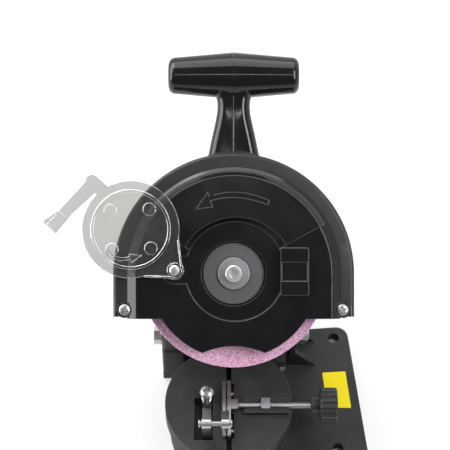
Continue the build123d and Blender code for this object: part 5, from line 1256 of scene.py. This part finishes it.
@dataclass
class ChainStop(SubAssembly):
    """Chain stop in its well: screw, spring, arm and pawl.

    Attributes:
        screw_mm: Place of its screw.
        spring: Coil of its spring.
        spring_z_mm: Where the spring starts and ends.
        end_climb: How much more it climbs near its ends than in the middle, as a share of its length.
    """

    finishes: tuple[tuple, ...] = (
        (Finish.ZINC, "stop_screw", "stop_washer", "stop_arm", "pawl_pin", "stop_pawl"),)
    screw_mm: Pair = (-21.0, -61.0)
    spring: Coil = Coil(radius_mm=3.9, wire_mm=0.55, turns=6, steps=24)
    spring_z_mm: Pair = (39.7, 54.5)
    end_climb: float = 0.06

    def build(self) -> None:
        """Round-wire compression spring: a helix at height t + e·sin 2πt of its length."""
        t, ring = self.spring.helix()
        low, high = self.spring_z_mm
        climb = np.clip(t + self.end_climb * np.sin(2.0 * pi * t), 0.0, 1.0)
        path = np.column_stack([np.array(self.screw_mm) + ring, low + (high - low) * climb])
        spring = wire("stop_spring_wire", path, Z_AXIS, self.spring.wire_mm)
        self.shop.mount(spring, Finish.WIRE, "table", "spring_steel")
        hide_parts("stop_spring")


@dataclass
class Guard(SubAssembly):
    """Guard halves, cover and their screws.

    Attributes:
        outer_arc_mm: Start, middle and end of the raised arrow's outer arc on the cover.
        inner_arc_mm: The same of its inner arc.
        barbs_mm: Lower barb, tip and upper barb of the arrow.
        bead_mm: Half width and height of its bead.
        level_mm: Place where the cover's height is taken.
        arc_steps: Points along an arc.
        side_steps: Where the points of a straight side lie on it.
    """

    finishes: tuple[tuple, ...] = (
        (Finish.GUARD, "housing_left", "housing_right"),
        (Finish.GLOSS, "front_cover"),
        (Finish.ZINC, "neck_screws", "cover_screws"))
    outer_arc_mm: tuple[Pair, ...] = ((-18.9, 58.5), (3.0, 62.1), (26.96, 55.9))
    inner_arc_mm: tuple[Pair, ...] = ((-17.9, 55.4), (3.0, 58.0), (25.97, 52.4))
    barbs_mm: tuple[Pair, ...] = ((-15.9, 50.9), (-28.6, 49.3), (-19.95, 62.1))
    bead_mm: Pair = (0.38, 0.35)
    level_mm: Pair = (0.0, 57.0)
    arc_steps: int = 24
    side_steps: tuple[float, ...] = (0.12, 0.5, 0.88, 1.0)

    def build(self) -> None:
        """Raised outline of the turning arrow: two arcs and the arrow's head as one closed line."""
        outer = arc_through(*self.outer_arc_mm, self.arc_steps)
        inner = arc_through(*self.inner_arc_mm, self.arc_steps)[::-1]
        corners = np.array([self.inner_arc_mm[0], *self.barbs_mm, self.outer_arc_mm[0]])
        t = np.array(self.side_steps)[None, :, None]
        sides = corners[:-1, None] * (1 - t) + corners[1:, None] * t
        line = np.concatenate([outer, inner, sides.reshape(-1, 2)])
        z = self.shop.head.height_on("front_cover", self.level_mm)
        arrow = closed_bead("turning_arrow", line, self.bead_mm, self.shop.head, z)
        self.shop.mount(arrow, Finish.LIT_BEAD, "head", "black_gloss")


@dataclass
class Shield(SubAssembly):
    """Clear eye shield and its screw.

    Attributes:
        mark_mm: Points of the small moulded arrow on the disc.
        bead_mm: Half width and height of its bead.
        level_mm: Place where the disc's height is taken.
        disc_mm: Middle of the disc.
        face_mm: Height of the disc's front face.
        ring_radius_mm: Radius inside which the pads and the face between them lie.
        flat_mm: How far off that height a point of the face may lie.
        pad_rise_mm: Heights above the face between which the pads' points lie.
        pad_turn: How far the pads turn about the disc's middle, in degrees.
        pivot_mm: Place of the shield's pivot.
        open_angle: Direction from the pivot to the disc, in degrees.
        bar_corners_mm: Inner corners of the latch bar, in the shield's own frame, each with its place on the
            wider bar.
        corner_reach_mm: How near to such a corner a point has to lie to move with it.
    """

    finishes: tuple[tuple, ...] = ((Finish.CLEAR, "eye_shield"), (Finish.ZINC, "shield_screw"))
    mark_mm: tuple[Pair, ...] = (
        (-95.2, 18.4), (-92.5, 14.8), (-86.4, 12.2), (-79.6, 12.8), (-79.0, 15.1), (-70.4, 13.9),
        (-77.2, 8.8), (-78.9, 10.9), (-86.8, 9.9), (-94.4, 12.9), (-97.2, 17.0))
    bead_mm: Pair = (0.3, 0.3)
    level_mm: Pair = (-84.0, 12.0)
    disc_mm: Pair = (-78.40, 33.84)
    face_mm: float = 20.7
    ring_radius_mm: float = 29.0
    flat_mm: float = 0.01
    pad_rise_mm: Pair = (0.1, 0.6)
    pad_turn: float = 45.0
    pivot_mm: Pair = (-45.0, 2.8)
    open_angle: float = 137.1
    bar_corners_mm: tuple[tuple[Pair, Pair], ...] = (
        ((88.5, -1.6), (84.2, -1.6)), ((88.5, 25.0), (86.2, 21.0)))
    corner_reach_mm: float = 0.3

    def build(self) -> None:
        """Pads on the disc's diagonals, a wide latch bar and the small raised arrow."""
        mesh = bpy.data.objects["eye_shield_skin"].data
        self.turn_pads(mesh)
        self.widen_bar(mesh)
        self.raised_mark()

    def turn_pads(self, mesh: bpy.types.Mesh) -> None:
        """Turns the round pads about the disc's middle and fills the flat face round them again.

        Args:
            mesh: The dressed shield.
        """
        out = self.shop.head.out
        middle = Vector(self.shop.head.world(np.array([*self.disc_mm, self.face_mm])))
        work = bmesh.new()
        work.from_mesh(mesh)
        radius = self.ring_radius_mm * MM
        rise = {v: (v.co - middle).dot(out) / MM for v in work.verts}
        near = {v for v in work.verts if (v.co - middle - rise[v] * MM * out).length < radius}
        flat = [f for f in work.faces if all(v in near and abs(rise[v]) < self.flat_mm for v in f.verts)]
        bmesh.ops.delete(work, geom=flat, context="FACES")
        rims = [e for e in work.edges if e.is_boundary]
        low, high = self.pad_rise_mm
        raised = {v for v in near if v.is_valid and low < rise[v] < high}
        feet = {e.other_vert(v) for v in raised for e in v.link_edges}
        turn = Matrix.Rotation(radians(self.pad_turn), 3, out)
        bmesh.ops.rotate(work, cent=middle, matrix=turn, verts=list(raised | feet))
        bmesh.ops.triangle_fill(work, use_beauty=True, use_dissolve=False, edges=rims, normal=out)
        work.to_mesh(mesh)
        work.free()
        tidy(mesh)

    def widen_bar(self, mesh: bpy.types.Mesh) -> None:
        """Moves the latch bar's inner corners towards the disc, above and below alike.

        Args:
            mesh: The dressed shield.
        """
        head = self.shop.head
        turn = radians(self.open_angle)
        axes = np.array([(cos(turn), sin(turn)), (-sin(turn), cos(turn))])
        face = np.array([tuple(X_AXIS), tuple(head.up)])
        flat = np.array([tuple(v.co - head.centre) for v in mesh.vertices]) @ face.T / MM
        own = (flat - np.array(self.pivot_mm)) @ axes.T
        for old, new in np.array(self.bar_corners_mm):
            step = Vector(head.world(np.array([*((new - old) @ axes), 0.0]))) - head.centre
            found = np.flatnonzero(np.linalg.norm(own - old, axis=1) < self.corner_reach_mm)
            log.info("latch bar: %d points move by %.1f mm", len(found), step.length / MM)
            for index in found:
                mesh.vertices[index].co += step
        tidy(mesh)

    def raised_mark(self) -> None:
        """Small raised arrow on the disc, as one closed bead."""
        z = self.shop.head.height_on("eye_shield", self.level_mm)
        mark = closed_bead("shield_mark", np.array(self.mark_mm), self.bead_mm, self.shop.head, z)
        self.shop.mount(mark, Finish.CLEAR_BEAD, "shield", "clear_plastic")


@dataclass
class Grinder(SubAssembly):
    """Wheel with its flanges, shaft and the turning part of the motor."""

    finishes: tuple[tuple, ...] = (
        (Finish.ABRASIVE, "grinding_wheel"),
        (Finish.FLANGE, "inner_flange", "outer_flange"),
        (Finish.SATIN, "clamp_washer"),
        (Finish.TURNED, "arbor_screw"),
        (Finish.STEEL, "motor_shaft"),
        (Finish.LAMINATION, "armature"),
        (Finish.COPPER, "commutator"),
        (Finish.GRIP, "fan"))


@dataclass
class Motor(SubAssembly):
    """Fixed part of the motor, its switch, gland and bracket."""

    finishes: tuple[tuple, ...] = (
        (Finish.GLOSS, "motor_housing", "motor_end_cap"),
        (Finish.ZINC, "motor_screws", "cap_screws", "bracket_screws"),
        (Finish.RUBBER, "cord_gland"),
        (Finish.STEEL, "front_bearing", "rear_bearing"),
        (Finish.LAMINATION, "stator"),
        (Finish.COPPER, "field_coils"),
        (Finish.CARBON, "brushes"),
        (Finish.GRIP, "brush_holders", "switch_body"),
        (Finish.ROCKER, "switch_rocker"),
        (Finish.CAST, "tilt_bracket"))


# --- Studio ---
@dataclass(frozen=True)
class Softbox:
    """Lamp placed by the direction from which it lights the head.

    Attributes:
        name: The lamp's name.
        tilt: Angle between its direction and the guard's axis, in degrees.
        azimuth: Angle round that axis, from the head's right towards its top, in degrees.
        width: Angle it covers away from the axis, in degrees.
        length: Angle it covers round the axis, in degrees.
        radiance: Its brightness.
        distance: Its distance from the head, in metres.
    """

    name: str
    tilt: float
    azimuth: float
    width: float
    length: float
    radiance: float
    distance: float = 1.0

    def build(self, head: Head) -> None:
        """Makes the lamp: side = 2·distance·tan(angle/2), power = radiance·pi·area.

        Args:
            head: Frame of the head that it lights.
        """
        tilt, azimuth = radians(self.tilt), radians(self.azimuth)
        across = X_AXIS * cos(azimuth) + head.up * sin(azimuth)
        around = head.up * cos(azimuth) - X_AXIS * sin(azimuth)
        away = head.out * cos(tilt) + across * sin(tilt)
        data = bpy.data.lights.new(self.name, "AREA")
        data.shape = "RECTANGLE"
        data.size = 2.0 * self.distance * tan(radians(self.length) / 2.0)
        data.size_y = 2.0 * self.distance * tan(radians(self.width) / 2.0)
        data.energy = self.radiance * pi * data.size * data.size_y
        add_object(self.name, data).matrix_world = facing(head.centre + away * self.distance, around, away)


@dataclass
class Studio:
    """Floor, lights and camera.

    Attributes:
        head: Frame of the head, which the camera faces.
        aim_mm: Where the camera looks, in the head's x and y.
        distance: From the aim to the camera.
        lens_mm: Focal length.
        sensor_mm: Width of the camera's sensor.
        farthest: How far the camera sees, in metres.
        floor_size: Half width of the floor.
        floor_colour: Grey of the floor.
        floor_glow: Light that the floor adds for the camera and for shiny and clear things.
        shade_reach: How far the floor looks for things that keep its glow off, in metres.
        shade_sky: Shares of open sky between which the glow comes up.
        room: Brightness of the room behind the object and in front of it.
        room_edge: Where one goes over into the other, as the cosine off the guard's axis.
        lamps: The softboxes.
    """

    head: Head
    aim_mm: Pair = (-6.7, 37.2)
    distance: float = 1.345
    lens_mm: float = 139.6
    sensor_mm: float = 36.0
    farthest: float = 50.0
    floor_size: float = 4.0
    floor_colour: float = 0.5
    floor_glow: float = 0.46
    shade_reach: float = 0.02
    shade_sky: Pair = (0.1, 0.5)
    room: Pair = (0.9, 0.12)
    room_edge: Pair = (0.05, 0.6)
    lamps: tuple[Softbox, ...] = (
        Softbox("left_softbox", tilt=70.0, azimuth=150.0, width=40.0, length=84.0, radiance=4.6),
        Softbox("right_softbox", tilt=38.0, azimuth=15.0, width=20.0, length=46.0, radiance=8.0),
        Softbox("front_band", tilt=10.5, azimuth=90.0, width=1.6, length=34.0, radiance=9.0),
        Softbox("overhead", tilt=70.0, azimuth=90.0, width=40.0, length=56.0, radiance=2.2))

    def build(self) -> None:
        """Makes everything round the object."""
        self.camera()
        self.floor()
        self.world()
        for lamp in self.lamps:
            lamp.build(self.head)

    def camera(self) -> None:
        """Camera square to the guard's face."""
        data = bpy.data.cameras.new("camera")
        data.lens = self.lens_mm
        data.sensor_width = self.sensor_mm
        data.clip_end = self.farthest
        camera = add_object("camera", data)
        aim = Vector(self.head.world(np.array([*self.aim_mm, 0.0])))
        camera.matrix_world = facing(aim + self.head.out * self.distance, X_AXIS, self.head.out)
        bpy.context.scene.camera = camera

    @staticmethod
    def bare_graph(owner: Material | bpy.types.World) -> Graph:
        """Empties a node tree.

        Args:
            owner: The material or the world that it belongs to.

        Returns:
            Its graph.
        """
        owner.use_nodes = True
        owner.node_tree.nodes.clear()
        return Graph(owner.node_tree)

    def floor(self) -> None:
        """Plain pale floor: a flat quad that glows a little for camera, shiny and clear rays, the glow fading
        near things as painted shade.
        """
        s = self.floor_size
        grid = np.array([[(-s, -s, 0.0), (s, -s, 0.0)], [(-s, s, 0.0), (s, s, 0.0)]])
        floor = mesh_object("floor", grid, tube=False)
        made = bpy.data.materials.new("pale_floor")
        graph = self.bare_graph(made)
        ray = graph.node("ShaderNodeLightPath").outputs
        seen = graph.maths("MAXIMUM", ray["Is Glossy Ray"], ray["Is Transmission Ray"])
        seen = graph.maths("MAXIMUM", ray["Is Camera Ray"], seen)
        # Painted shade: the glow fades where little sky is open, near and under things.
        seen = graph.times(seen, graph.spread(graph.open_sky(self.shade_reach), *self.shade_sky))
        plain = graph.node("ShaderNodeBsdfDiffuse", {"Color": (self.floor_colour,) * 3})
        glow = graph.node("ShaderNodeEmission", {"Color": (1.0, 1.0, 1.0),
                                                 "Strength": graph.times(seen, self.floor_glow)})
        both = graph.node("ShaderNodeAddShader", {0: plain.outputs[0], 1: glow.outputs[0]})
        graph.node("ShaderNodeOutputMaterial", {"Surface": both.outputs[0]})
        floor.data.materials.append(made)

    def world(self) -> None:
        """Room light: bright behind and beside the object and dim in front, as in a tent with an opening."""
        world = bpy.data.worlds.new("studio")
        bpy.context.scene.world = world
        graph = self.bare_graph(world)
        view = graph.node("ShaderNodeTexCoord").outputs["Generated"]
        strength = graph.spread(graph.dot(view, tuple(self.head.out)), *self.room_edge, self.room)
        seen = graph.node("ShaderNodeLightPath").outputs["Is Camera Ray"]
        back = graph.node("ShaderNodeBackground", {"Color": (1.0, 1.0, 1.0),
                                                   "Strength": graph.maths("MAXIMUM", strength, seen)})
        graph.node("ShaderNodeOutputWorld", {"Surface": back.outputs[0]})


def main() -> None:
    """Builds the studio and every sub-assembly in order."""
    logging.basicConfig(level=logging.INFO, format="%(name)s: %(message)s")
    bpy.context.scene.view_settings.view_transform = "Standard"
    head = Head()
    shop = Workshop(head)
    Studio(head).build()
    for kind in (Base, Vise, ChainStop, Guard, Shield, Grinder, Motor):
        assembly = kind(shop)
        assembly.dress()
        assembly.build()
    bpy.context.view_layer.update()


if __name__ == "__main__":
    main()
